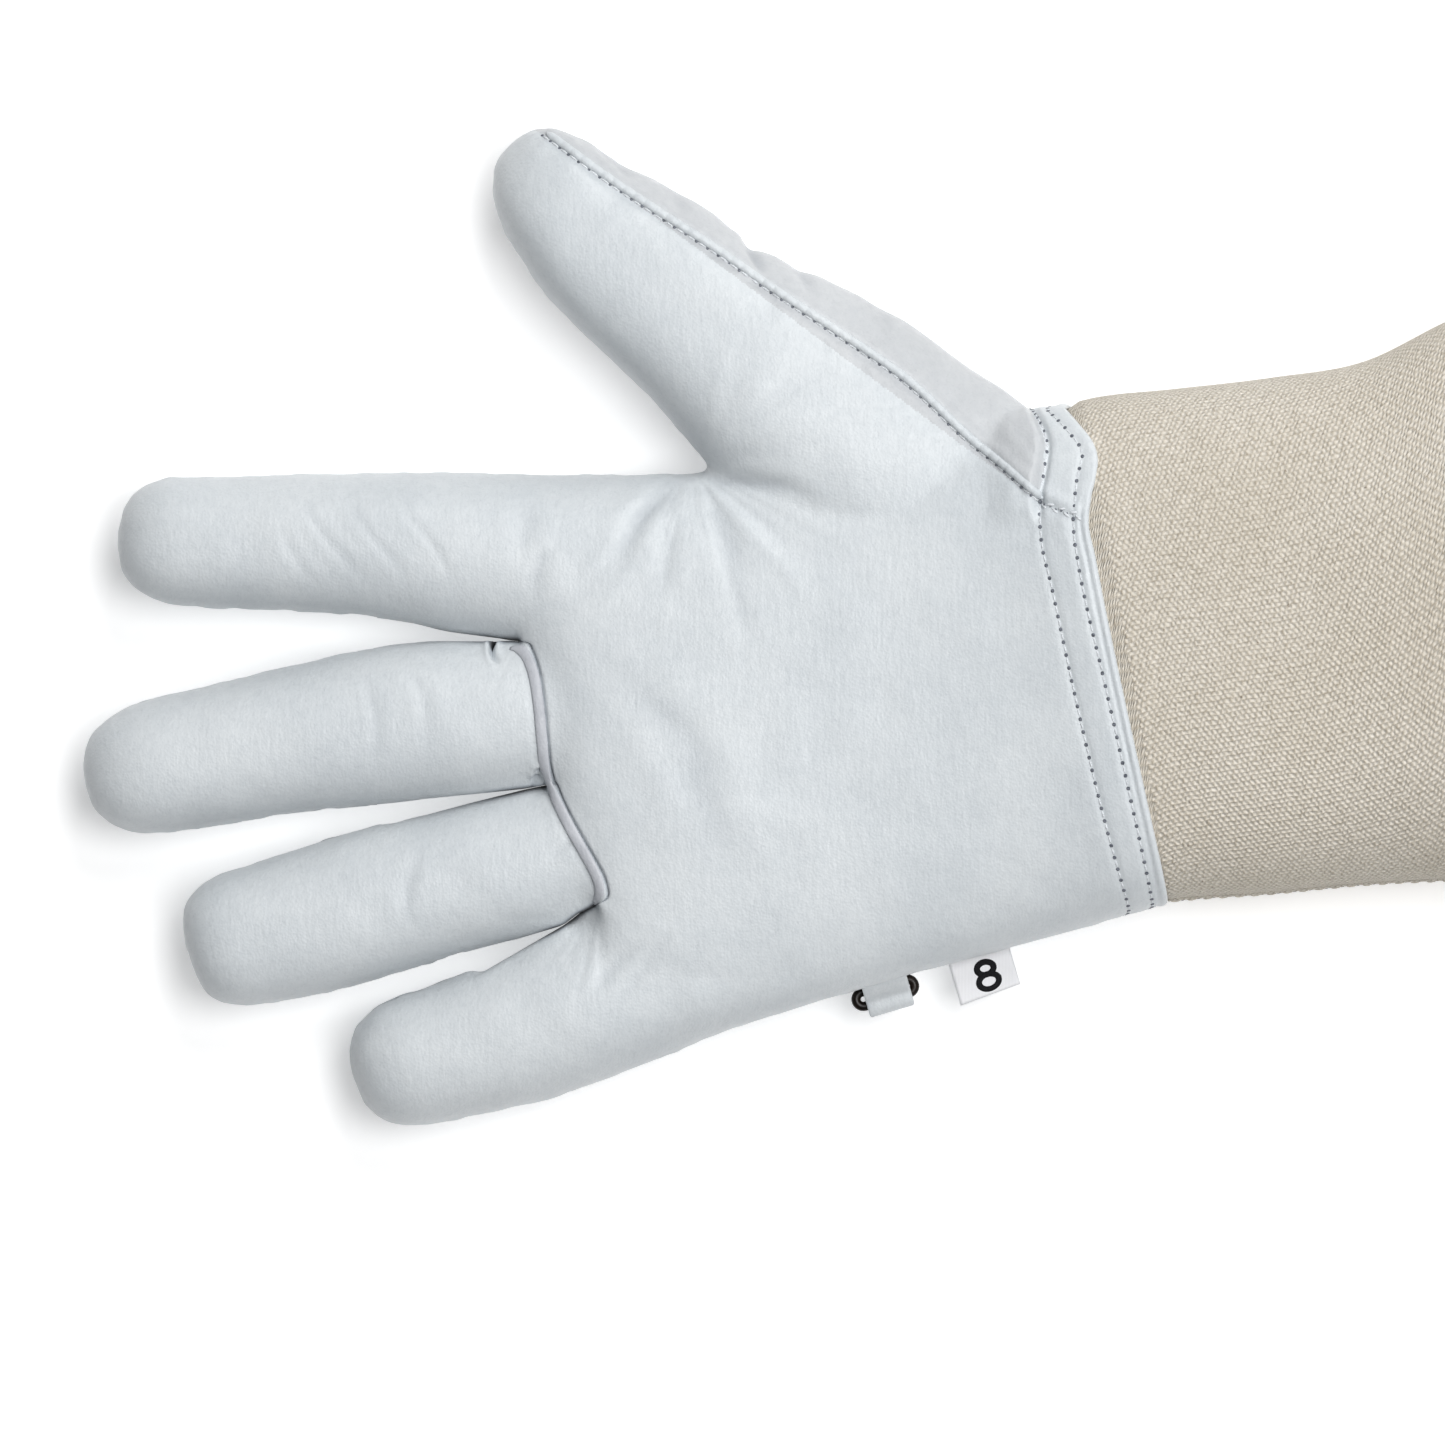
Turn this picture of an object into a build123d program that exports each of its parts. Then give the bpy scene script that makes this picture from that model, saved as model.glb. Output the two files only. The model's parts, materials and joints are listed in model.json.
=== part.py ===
from build123d import *
import os
from math import cos, radians, sin

# A right-hand beekeeping glove, filled to the shape of a hand, lying on its back with the palm up.
# Millimetres. +Z is up, out of the palm. The fingers point to -X, the sleeve runs to +X, the thumb is on +Y.
# The origin is on the flat rest face under the back of the hand, below the middle of the palm.

# Materials
LEATHER = 1.2            # goatskin
CANVAS = 0.9             # cotton duck
FOLD_GAP = 0.4           # clearance at a fold line, between two bodies

# The hand and the sleeve lie on one axis. u runs along it to the elbow, v across it to the thumb side.
HAND_TURN = 10.0         # degrees from +X to +Y
SEAM_HEIGHT = 15.0       # height of the side seams, where palm side and back side leather meet
FLOOR_DIP = 1.0          # how far a section reaches below the flat underside before it is cut
ROUNDNESS = 0.43         # corner radius of a section, as a share of its height

# Sections of the hand: u, lowest v, highest v, height
HAND = [
    (-54.0, -66.0, 54.5, 32.5),
    (-35.0, -62.0, 51.0, 34.0),
    (-16.0, -60.0, 48.5, 35.0),
    (10.0, -57.5, 49.0, 37.0),
    (35.0, -54.5, 50.0, 41.5),
    (60.5, -52.0, 49.5, 48.0),
]
HEM_START = 49.0         # the leather hem runs from here to the end of the last section
HEM_END = 60.5
HEM_STITCH_ROWS = {"hem_stitch_row_upper": 51.5, "hem_stitch_row_lower": 58.5}

# Sections of the canvas sleeve, the same way
SLEEVE = [
    (60.9, -50.8, 48.3, 46.8),
    (100.0, -54.5, 46.5, 50.0),
    (136.0, -59.0, 52.0, 56.0),
    (200.0, -66.0, 61.0, 63.0),
    (265.0, -70.0, 66.0, 66.0),
    (333.0, -66.0, 61.0, 60.0),
]
SLEEVE_START = 60.9
ELBOW_HEM_START = 321.0
ELBOW_END = 333.0
ELASTIC = 1.0            # thickness of the elastic band in the elbow hem
ELASTIC_WIDTH = 8.0
SIDE_SEAM_WIDTH = 10.0

# Fingers: x and y of the fold line's middle, heading, length beyond it, radius there, radius at the tip
FINGERS = {
    "index": (-64.0, 28.8, 177.4, 76.0, 15.7, 12.9),
    "middle": (-64.0, -3.5, 187.7, 84.0, 14.9, 13.9),
    "ring": (-60.0, -33.1, 194.4, 68.5, 14.2, 13.8),
    "little": (-50.0, -61.5, 198.7, 46.5, 14.9, 13.8),
}
THUMB = (-14.8, 66.8, 139.0, 62.5, 21.2, 12.0)
FINGER_LIFT = 0.5        # gap under a finger
TIP_ROUNDING = 9.5       # corner radius of a blunt fingertip
FINGER_ROOT = 25.0       # how far a finger's root reaches back into the hand
THUMB_ROOT = 50.0
THUMB_AXIS_HEIGHT = 18.0
THUMB_TOP = 36.0

# The thumb seam is a straight line in plan, from the thumb's tip to the wrist
THUMB_SEAM_TIP = (-56.0, 113.0)
THUMB_SEAM_WRIST = (45.0, 40.6)
THUMB_CROTCH = (-25.0, 46.0)

# Welt in the seam under the middle and ring fingers: x and y of its route
WELT_ROUTE = [(-56, 11), (-53, 0), (-51, -14), (-48.5, -24), (-44, -33), (-42.5, -40)]
WELT_RADIUS = 1.1
WELT_BEND = 6.0
KNUCKLE_TOP = 33.0

# Hanging loop with its ring, and the size label, all on the little finger's side seam
LOOP_START_U = -1.5
LOOP_WIDTH = 9.5
LOOP_EDGE_V = -59.4
LOOP_REACH = 7.2
LOOP_HEIGHT = 3.8
LOOP_WALL = 0.8
RING_LENGTH = 14.0
RING_WIDTH = 5.2
RING_WIRE = 1.8
LABEL_START_U = 16.4
LABEL_WIDTH = 12.6
LABEL_EDGE_V = -57.6
LABEL_REACH = 8.2
LABEL_THICKNESS = 0.5

FAR = 900.0              # side of a block that stands for a half space


def hand_point(u, v, z=0.0):
    """A point of the hand's own axes, in the part's frame."""
    turn = radians(HAND_TURN)
    return Vector(u * cos(turn) - v * sin(turn), u * sin(turn) + v * cos(turn), z)


def beyond(point, normal):
    """Everything on the side of a plane that its normal points to."""
    return Plane(origin=point, z_dir=normal) * Pos(0, 0, FAR / 2) * Box(FAR, FAR, FAR)


def along_hand(u):
    """Everything on the elbow side of the section at u."""
    return beyond(hand_point(u, 0), hand_point(1, 0))


def slice_of_hand(u_start, u_end):
    """The stretch between two sections."""
    return along_hand(u_start) - along_hand(u_end)


def above(height):
    return beyond((0, 0, height), (0, 0, 1))


def below(height):
    return beyond((0, 0, height), (0, 0, -1))


def tube_section(row, grow):
    """One rounded section across the hand's axis, grown or shrunk all round."""
    u, v_low, v_high, height = row
    width = v_high - v_low + 2 * grow
    tall = height + FLOOR_DIP + 2 * grow
    plane = Plane(origin=hand_point(u, 0), x_dir=hand_point(0, 1), z_dir=hand_point(1, 0))
    corner = ROUNDNESS * height + grow
    middle = Pos((v_low + v_high) / 2, (height - FLOOR_DIP) / 2)
    return plane * middle * RectangleRounded(width, tall, corner)


def tube(rows, grow):
    """The smooth solid through a list of sections."""
    return loft([tube_section(row, grow) for row in rows])


def digit(spec, axis_height, grow, start):
    """A finger or thumb as a tapered round solid with a blunt tip, from start to its tip."""
    x, y, heading, length, base_radius, tip_radius = spec
    shoulder = length - TIP_ROUNDING
    taper = (tip_radius - base_radius) / shoulder
    first = base_radius + taper * start + grow
    corner = TIP_ROUNDING + grow
    centre = (shoulder, tip_radius - TIP_ROUNDING)
    outline = [
        Line((start, 0), (start, first)),
        Line((start, first), (shoulder, tip_radius + grow)),
        CenterArc(centre, corner, 90, -90),
        Line((length + grow, centre[1]), (length + grow, 0)),
        Line((length + grow, 0), (start, 0)),
    ]
    solid = revolve(make_face(outline), Axis.X, 360)
    return Pos(x, y, axis_height) * Rot(0, 0, heading) * solid


def root_of(spec, axis_height, grow, back):
    """The part of a digit behind its fold line, which belongs to the hand."""
    fold = beyond((spec[0], spec[1], 0), Vector(1, 0, 0).rotate(Axis.Z, spec[2]))
    return digit(spec, axis_height, grow, -back) - fold


def finger_height(spec):
    return spec[4] + FINGER_LIFT


def hand_solid(grow):
    """Hand, hem, finger roots and thumb root as one closed solid, grown or shrunk all round."""
    solid = tube(HAND, grow)
    for spec in FINGERS.values():
        solid += root_of(spec, finger_height(spec), grow, FINGER_ROOT)
    thumb_root = root_of(THUMB, THUMB_AXIS_HEIGHT, grow, THUMB_ROOT)
    solid += thumb_root & below(THUMB_TOP + grow)
    return solid & above(max(0.0, -grow))


def thumb_solid(grow, start):
    solid = digit(THUMB, THUMB_AXIS_HEIGHT, grow, start) & below(THUMB_TOP + grow)
    return solid & above(FINGER_LIFT + max(0.0, -grow))


def save(shape, name):
    export_step(shape, f"parts/{name}.step")


seam_run = Vector(*THUMB_SEAM_WRIST) - Vector(*THUMB_SEAM_TIP)
seam_out = Vector(-seam_run.Y, seam_run.X).normalized()


def outside_thumb_seam(shift=0.0):
    """Everything on the outer side of the thumb seam, moved outwards by shift."""
    return beyond(Vector(*THUMB_SEAM_TIP) + seam_out * shift, seam_out)


def thumb_seam_trim(grown, plain, start, end):
    """A raised line on the palm side, between two distances from the thumb seam."""
    band = outside_thumb_seam(start) - outside_thumb_seam(end)
    return (grown - plain) & band & above(SEAM_HEIGHT)


def largest(shape):
    """The largest solid of a shape, without the crumbs that a cut leaves."""
    return max(shape.solids(), key=lambda solid: solid.volume)


def make_hand():
    """Palm, back, thumb back, hem, and the lines of stitches on them."""
    outer = hand_solid(0)
    hollow = outer - hand_solid(-LEATHER)
    for spec in FINGERS.values():
        hollow -= digit(spec, finger_height(spec), -LEATHER, -FOLD_GAP)
    hollow -= digit(THUMB, THUMB_AXIS_HEIGHT, -LEATHER, -FOLD_GAP) & below(THUMB_TOP - LEATHER) & above(LEATHER)
    hollow -= tube([(HEM_END - 1.0, *HAND[-1][1:]), (HEM_END + 1.0, *HAND[-1][1:])], -LEATHER) & above(LEATHER)
    panels = hollow - along_hand(HEM_START)
    palm_side = panels & above(SEAM_HEIGHT)
    back_side = panels & below(SEAM_HEIGHT)
    crotch_run = Vector(*THUMB_SEAM_WRIST) - Vector(*THUMB_CROTCH)
    behind_crotch = beyond(Vector(*THUMB_CROTCH), Vector(-crotch_run.Y, crotch_run.X))
    save(largest(palm_side - outside_thumb_seam()), "palm_panel")
    save(largest(back_side - behind_crotch), "back_panel")
    save(largest((palm_side & outside_thumb_seam()) + (back_side & behind_crotch)), "thumb_heel_back")
    save(largest(hollow & along_hand(HEM_START)), "wrist_hem")

    lining = hand_solid(-LEATHER) - hand_solid(-LEATHER - CANVAS)
    save(largest(lining & slice_of_hand(HEM_START + 1.0, HEM_END - FOLD_GAP)), "canvas_seam_allowance")

    thread = hand_solid(0.4)
    for name, u in HEM_STITCH_ROWS.items():
        save(largest((thread - outer) & slice_of_hand(u - 0.3, u + 0.3)), name)
    welt = thumb_seam_trim(hand_solid(0.9), outer, 0.0, 2.0) - along_hand(HEM_START)
    save(largest(welt), "thumb_seam_welt")
    stitches = thumb_seam_trim(thread, outer, -2.1, -1.6) - along_hand(HEM_START)
    save(largest(stitches), "thumb_seam_thread")
    return outer


def make_finger_welt(outer):
    """The cord of leather in the seam under the middle and ring fingers."""
    centre = KNUCKLE_TOP + 0.6
    route = FilletPolyline(*[(x, y, centre) for x, y in WELT_ROUTE], radius=WELT_BEND)
    section = Plane(origin=route @ 0, z_dir=route % 0) * Circle(WELT_RADIUS)
    save(largest(sweep(section, path=route) - outer), "finger_base_welt")


def make_fingers():
    for name, spec in FINGERS.items():
        height = finger_height(spec)
        shell = digit(spec, height, 0, FOLD_GAP) - digit(spec, height, -LEATHER, -FOLD_GAP)
        save(largest(shell & above(SEAM_HEIGHT)), f"{name}_finger_front")
        save(largest(shell & below(SEAM_HEIGHT)), f"{name}_finger_back")


def make_thumb():
    outer = thumb_solid(0, FOLD_GAP)
    shell = outer - thumb_solid(-LEATHER, -FOLD_GAP)
    front = (shell & above(SEAM_HEIGHT)) - outside_thumb_seam()
    save(largest(front), "thumb_front")
    save(largest(shell - largest(front)), "thumb_back")
    save(largest(thumb_seam_trim(thumb_solid(0.9, FOLD_GAP), outer, 0.0, 2.0)), "thumb_tip_welt")
    save(largest(thumb_seam_trim(thumb_solid(0.4, FOLD_GAP), outer, -2.1, -1.6)), "thumb_tip_thread")


def make_sleeve():
    """The canvas gauntlet, its side seam, and the elbow hem with the elastic in it."""
    outer = tube(SLEEVE, 0) & above(0)
    inner = tube(SLEEVE, -CANVAS) & above(CANVAS)
    canvas = (outer - inner) - along_hand(ELBOW_HEM_START)
    save(largest(canvas), "gauntlet")

    seam_band = above(SEAM_HEIGHT) & below(SEAM_HEIGHT + SIDE_SEAM_WIDTH)
    little_finger_side = beyond(hand_point(0, 0), hand_point(0, -1))
    raised = tube(SLEEVE, 0.6) - outer
    strip = raised & seam_band & little_finger_side & slice_of_hand(SLEEVE_START + 1, ELBOW_HEM_START)
    save(largest(strip), "sleeve_side_seam")

    thickness = 2 * CANVAS + ELASTIC
    innermost = tube(SLEEVE, -thickness) & above(thickness)
    band_outer = tube(SLEEVE, -CANVAS) & above(CANVAS)
    band_inner = tube(SLEEVE, -CANVAS - ELASTIC) & above(CANVAS + ELASTIC)
    elastic = (band_outer - band_inner) & slice_of_hand(ELBOW_HEM_START, ELBOW_HEM_START + ELASTIC_WIDTH)
    hem = ((outer - innermost) & slice_of_hand(ELBOW_HEM_START, ELBOW_END)) - elastic
    save(largest(hem), "elbow_hem")
    save(largest(elastic), "elbow_elastic")
    stitch_u = ELBOW_HEM_START + ELASTIC_WIDTH + 1.5
    row = (tube(SLEEVE, 0.4) & above(0)) - outer
    save(largest(row & slice_of_hand(stitch_u, stitch_u + 0.6)), "elbow_hem_stitching")


def on_side_seam(u, v, z=SEAM_HEIGHT):
    """A location on the little finger's side seam, turned to the hand's axis."""
    return Location(hand_point(u, v, z)) * Rot(0, 0, HAND_TURN)


def make_loop_and_label():
    middle_v = LOOP_EDGE_V - LOOP_REACH / 2
    place = on_side_seam(LOOP_START_U + LOOP_WIDTH / 2, middle_v)
    side = Plane.YZ.offset(-LOOP_WIDTH / 2)
    outline = side * RectangleRounded(LOOP_REACH, LOOP_HEIGHT, LOOP_HEIGHT / 2 - 0.1)
    slot_height = LOOP_HEIGHT - 2 * LOOP_WALL
    slot = side * RectangleRounded(LOOP_REACH - 2 * LOOP_WALL, slot_height, slot_height / 2 - 0.1)
    save(place * extrude(outline - slot, LOOP_WIDTH), "hang_loop")

    straight = (RING_LENGTH - RING_WIDTH) / 2
    bend = (RING_WIDTH - RING_WIRE) / 2
    route = Wire([
        Line((-straight, bend), (straight, bend)),
        CenterArc((straight, 0), bend, 90, -180),
        Line((straight, -bend), (-straight, -bend)),
        CenterArc((-straight, 0), bend, 270, -180),
    ])
    wire = Plane(origin=route @ 0, z_dir=route % 0) * Circle(RING_WIRE / 2)
    save(place * sweep(wire, path=route), "hang_ring")

    label_place = on_side_seam(LABEL_START_U + LABEL_WIDTH / 2, LABEL_EDGE_V - LABEL_REACH / 2)
    save(label_place * Box(LABEL_WIDTH, LABEL_REACH, LABEL_THICKNESS), "size_label")


os.makedirs("parts", exist_ok=True)
hand_outer = make_hand()
make_finger_welt(hand_outer)
make_fingers()
make_thumb()
make_sleeve()
make_loop_and_label()
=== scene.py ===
import json
from itertools import product
from math import cos, pi, radians, sin

import bmesh
import bpy
import numpy as np
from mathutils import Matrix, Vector, noise
from mathutils.bvhtree import BVHTree


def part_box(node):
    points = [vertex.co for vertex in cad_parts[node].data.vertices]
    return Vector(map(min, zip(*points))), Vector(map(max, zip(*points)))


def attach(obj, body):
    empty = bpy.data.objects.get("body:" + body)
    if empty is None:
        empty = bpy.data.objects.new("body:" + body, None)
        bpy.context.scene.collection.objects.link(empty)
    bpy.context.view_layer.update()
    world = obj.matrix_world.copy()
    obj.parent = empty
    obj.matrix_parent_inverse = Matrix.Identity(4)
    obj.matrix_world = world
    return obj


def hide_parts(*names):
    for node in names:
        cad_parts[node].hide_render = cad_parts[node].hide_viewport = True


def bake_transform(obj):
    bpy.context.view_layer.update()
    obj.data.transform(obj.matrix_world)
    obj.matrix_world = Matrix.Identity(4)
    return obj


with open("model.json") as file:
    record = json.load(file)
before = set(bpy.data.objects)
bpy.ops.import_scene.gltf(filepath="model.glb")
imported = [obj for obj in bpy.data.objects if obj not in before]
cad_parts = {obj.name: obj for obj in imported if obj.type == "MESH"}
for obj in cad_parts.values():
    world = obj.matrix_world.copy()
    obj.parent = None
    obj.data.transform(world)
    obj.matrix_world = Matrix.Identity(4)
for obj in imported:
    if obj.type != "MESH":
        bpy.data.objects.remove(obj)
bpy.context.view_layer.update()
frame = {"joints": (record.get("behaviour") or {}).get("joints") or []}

# Shapes are worked out in millimetres, in the row frame, and turned into metres when a mesh is made.
MM = 0.001
UP = np.array([0.0, 0.0, 1.0])
JOINTS = {joint["name"]: joint for joint in frame["joints"]}
SEAM_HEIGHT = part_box("palm_panel")[0][2] / MM      # the side seams, where palm side and back side leather meet
FLOOR_GAP = 0.3

# The hand's axes: u runs along the hand and sleeve to the elbow, v across them to the thumb side.
ACROSS = -np.array(JOINTS["gauntlet_fold"]["axis"], float)
ALONG = np.array([ACROSS[1], -ACROSS[0], 0.0])

# ------------------------------------------------------------------ shape of the glove

# Sections of the palm: u, lowest v, highest v, height
PALM = [
    (-57.0, -66.0, 54.8, 27.5),
    (-50.0, -64.6, 53.7, 31.5),
    (-40.0, -62.6, 52.1, 33.5),
    (-30.0, -61.4, 50.8, 34.3),
    (-16.0, -60.0, 48.8, 35.0),
    (10.0, -57.3, 49.0, 37.0),
    (37.0, -54.4, 50.2, 41.5),
    (61.0, -52.3, 49.8, 47.6),
    (70.0, -51.6, 49.6, 48.5),
]
# How far the palm reaches between the fingers: v, u
PALM_FRONT = [(-66, -54), (-42, -52.8), (-33.4, -50.2), (-26, -52.3), (-16, -56), (-7.7, -55.4), (2, -56), (60, -56)]
HEM_EDGE = 60.0
STITCH_PITCH = 2.6

# Lines round the wrist hem: on the palm side v and u of points from the little finger side to the thumb side,
# where the hem ends in a blunt corner, and u on the back.
HEM_LINES = {
    "upper": ([(-52, 53.2), (-36, 51.4), (-13, 49.9), (13, 48.9), (24, 48.5), (33, 50.0), (38, 51.8), (42, 53.0), (50, 51.8)], 51.4),
    "lower": ([(-52, 58.0), (-8, 55.9), (18, 54.8), (24, 55.0), (29, 56.0), (35, 57.8), (39.4, 59.5), (44, 57.5), (49, 54.4)], 56.4),
    "edge": ([(-52, 60.5), (-20, 58.9), (18, 57.7), (26, 57.7), (30.5, 59.1), (34, 60.6), (38, 61.7), (41.5, 61.1), (45, 59.3),
              (50, 56.6)], 59.4),
}

# Digits, in their own axes: s runs out along the digit from its fold line, n across it to the thumb side.
# Stations hold s, reach to -n, reach to +n. Then: where the tip starts to round off, where it ends, how square it is,
# the heights of underside and top at the base and at the tip, and the stretch that bends with the joint.
DIGITS = {
    "index": {
        "joint": "index_finger_curl",
        "fullness": 2.35,
        "stations": [(-34, 14.0, 17.6), (-3, 16.1, 16.4), (8, 15.4, 16.2), (20, 13.9, 15.7), (40, 12.9, 14.7), (60, 12.8, 13.3), (76, 12.2, 12.8)],
        "tip": (60.0, 76.2, 2.8),
        "heights": (0.8, 31.6, 2.6, 27.6),
        "bend": (-3.0, 19.0),
    },
    "middle": {
        "joint": "middle_finger_curl",
        "fullness": 2.35,
        "stations": [(-34, 10.5, 12), (-8, 14.5, 14.4), (4, 14.9, 16.0), (16, 14.5, 17.3), (40, 13.6, 15.9), (60, 14.1, 14.0), (84, 13.9, 11.6)],
        "tip": (65.0, 84.2, 2.7),
        "heights": (0.8, 31.0, 1.8, 27.4),
        "bend": (-5.0, 18.0),
    },
    "ring": {
        "joint": "ring_finger_curl",
        "fullness": 2.4,
        "stations": [(-30, 10.5, 10.5), (-6, 13.9, 13.9), (4, 14.1, 14.0), (14, 14.2, 14.5), (25, 14.6, 15.0), (45, 14.9, 14.2), (68, 13.6, 12.8)],
        "tip": (54.0, 68.4, 3.1),
        "heights": (0.8, 30.2, 1.6, 27.2),
        "bend": (-8.0, 15.0),
    },
    "little": {
        "joint": "little_finger_curl",
        "fullness": 2.35,
        "stations": [(-38, 13.5, 10.5), (-5, 15.6, 16.0), (8, 16.1, 14.7), (21, 15.0, 13.4), (36, 13.2, 12.8), (46, 12.6, 12.2)],
        "tip": (30.0, 45.4, 2.7),
        "heights": (0.8, 30.6, 2.0, 26.6),
        "bend": (-12.0, 11.0),
    },
    "thumb": {
        "joint": "thumb_curl",
        "fullness": 2.75,
        "stations": [(-56, 14, 31.4), (-47, 16, 30.6), (-33, 18, 28.8), (-18, 19.5, 27.6), (-6, 19.6, 24.6), (2, 18.2, 22.2),
                     (13, 16.9, 19.0), (27, 16.6, 18.6), (42, 15.2, 15.0), (50, 12.9, 13.5), (64, 10.6, 13.8)],
        "tip": (48.0, 64.8, 2.2),
        "heights": (0.8, 36.5, 6.0, 29.5),
        "bend": (-6.0, 18.0),
    },
}
# Where the leather of two digits meets, in plan
CROTCHES = {
    "thumb": (-25.0, 45.6),
    "index": (-61.0, 11.9),
    "middle": (-55.4, -17.6),
    "ring": (-43.8, -41.6),
}

# Thumb seam, from the wrist hem to the thumb's tip, in plan
THUMB_SEAM = [(51.6, 36.2), (47.6, 37.4), (43.4, 39.2), (39, 43), (35, 46.6), (31, 49.8), (16, 63.6), (2, 73.2), (-10, 81.2),
              (-22, 89.6), (-31, 95.4), (-44, 104.2), (-55, 112.4)]
# Seam with a welt under the middle and ring fingers, in plan
WELT_ROUTE = [(-61.8, 10.2), (-60.3, 10.6), (-58.5, 8.7), (-57.3, 5.8), (-56.2, -0.3), (-55.4, -8.4), (-54.8, -14.2), (-53.4, -18.2),
              (-50.6, -24), (-47.7, -29.3), (-45.4, -33.4), (-44.1, -36.2), (-43.8, -38.7), (-45.0, -40.6)]
WELT_WIDTH = 2.2
RIDGE_RADIUS = 0.85

# Soft folds on the palm side: depth, half width, route in plan
FOLDS = [
    (0.45, 2.2, [(-31, 43), (-35, 36), (-40, 28), (-43, 22)]),
    (0.25, 1.6, [(-29, 43), (-34, 37), (-38, 31)]),
    (0.35, 2.4, [(-28, 42), (-29, 34), (-30, 24), (-30, 12)]),
    (0.45, 1.5, [(-25, 45.2), (-19.4, 43.4), (-10.8, 42.2), (-4, 41), (1, 36)]),
    (0.25, 2.6, [(-24, 41), (-19, 32), (-14, 22)]),
    (0.30, 2.0, [(-54, 30), (-56, 25), (-57.4, 19)]),
    (0.18, 1.8, [(-58, 41), (-59, 32), (-61, 22)]),
    (0.14, 1.1, [(-103, 40), (-97, 31), (-89, 21)]),
    (0.12, 1.0, [(-95, 42), (-88, 31), (-80, 19)]),
    (0.10, 0.9, [(-109, 36), (-103, 27), (-98, 20)]),
    (0.11, 1.0, [(-84, 41), (-77, 30), (-71, 20)]),
    (0.14, 1.3, [(-82, 9), (-79, -2), (-80, -14)]),
    (0.12, 1.1, [(-90, 6), (-88, -4), (-90, -16)]),
    (0.16, 1.2, [(-80, -28), (-83, -38), (-80, -48)]),
    (0.20, 1.4, [(-34, -47), (-44, -56), (-50, -66)]),
    (0.16, 1.4, [(-28, -45), (-36, -54), (-42, -66)]),
    (0.30, 3.5, [(-44, 8), (-30, -6), (-22, -22), (-20, -40)]),
    (1.30, 0.60, [(-62.6, 11.6), (-65.0, 10.6), (-65.5, 9.2), (-64.9, 7.8), (-62.6, 6.2)]),
    (1.10, 0.50, [(-55.2, -13.6), (-56.6, -14.4), (-58.6, -15.6)]),
    (1.00, 0.45, [(-55.4, -12.4), (-56.6, -13.2), (-57.8, -14.2)]),
    (0.20, 0.8, [(-50, -28), (-55, -32)]),
]
# Folds across the back of the thumb, which start at its outline: depth, half width, route in plan
THUMB_FOLDS = [
    (0.45, 1.9, [(-42, 110), (-36, 103)]),
    (0.85, 1.3, [(-14, 92), (-13, 88), (-10, 83)]),
    (0.50, 1.3, [(-6, 89), (-3.6, 85), (0, 80)]),
    (0.30, 2.4, [(-29, 103), (-25, 97)]),
    (0.25, 2.4, [(12, 80), (14, 72)]),
]
# Gaps between fingers, from where they are wide to the crotch: the finger on the thumb side, the one on the other side,
# then x, y and half the gap along the way. The fingers are built with a wider gap and pressed together afterwards.
SLITS = [
    ("index", "middle", [(-89, 13.9, 2.0), (-77.3, 12.9, 1.1), (-64.0, 12.0, 0.3), (-62.0, 11.9, 0.06), (-59.8, 11.7, 0.05)]),
    ("middle", "ring", [(-88, -23.2, 2.2), (-77.3, -20.9, 1.27), (-67.5, -19.3, 0.64), (-58.8, -17.8, 0.06),
                        (-54.8, -17.0, 0.05)]),
    ("ring", "little", [(-70, -53.2, 2.4), (-61.5, -49.5, 1.3), (-51.4, -45.1, 0.08), (-48.2, -42.7, 0.08),
                        (-44.6, -40.8, 0.05)]),
]
BUILT_HALF_GAP = 1.4
# Where small folds fan out: centre in plan, direction and half angle of the fan in degrees, how far it reaches, depth, spokes
FANS = [
    ((-26.0, 47.0), -80, 75, 48.0, 0.26, 5.5),
    ((-24.0, 46.0), 40, 55, 40.0, 0.14, 4.5),
    ((-44.0, -42.0), -130, 60, 26.0, 0.14, 5.0),
    ((-60.0, 11.0), -140, 55, 14.0, 0.14, 3.5),
    ((47.0, 42.0), 150, 60, 22.0, 0.12, 4.0),
]


def from_hand(u, v, z):
    """Points of the hand's axes, in the row frame."""
    u, v, z = (np.asarray(x, float)[..., None] for x in np.broadcast_arrays(u, v, z))
    return u * ALONG + v * ACROSS + z * UP


def to_hand(points):
    return points @ ALONG, points @ ACROSS, points[:, 2]


def smooth_values(stations, at):
    """Column values of a table, joined smoothly, at the given places."""
    table = np.array(stations, float)
    where = table[:, 0]
    at = np.clip(np.asarray(at, float), where[0], where[-1])
    slopes = np.gradient(table[:, 1:], where, axis=0)
    i = np.clip(np.searchsorted(where, at) - 1, 0, len(where) - 2)
    width = where[i + 1] - where[i]
    t = ((at - where[i]) / width)[:, None]
    a, b = table[i, 1:], table[i + 1, 1:]
    ma, mb = slopes[i] * width[:, None], slopes[i + 1] * width[:, None]
    return (2 * t**3 - 3 * t**2 + 1) * a + (t**3 - 2 * t**2 + t) * ma + (3 * t**2 - 2 * t**3) * b + (t**3 - t**2) * mb


def smooth_path(points, count):
    """A smooth line through given points, at even steps."""
    points = np.array(points, float)
    knots = np.concatenate([[0], np.cumsum(np.linalg.norm(np.diff(points, axis=0), axis=1))])
    fine = smooth_values(np.column_stack([knots, points]), np.linspace(0, knots[-1], 400))
    run = np.concatenate([[0], np.cumsum(np.linalg.norm(np.diff(fine, axis=0), axis=1))])
    even = np.linspace(0, run[-1], count)
    return np.column_stack([np.interp(even, run, fine[:, k]) for k in range(fine.shape[1])])


def ease(x, low, high):
    """0 below low, 1 above high, smooth between."""
    t = np.clip((x - low) / (high - low), 0, 1)
    return t * t * (3 - 2 * t)


def ring_of_angles(count):
    return np.linspace(0, 2 * pi, count, endpoint=False)


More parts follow.
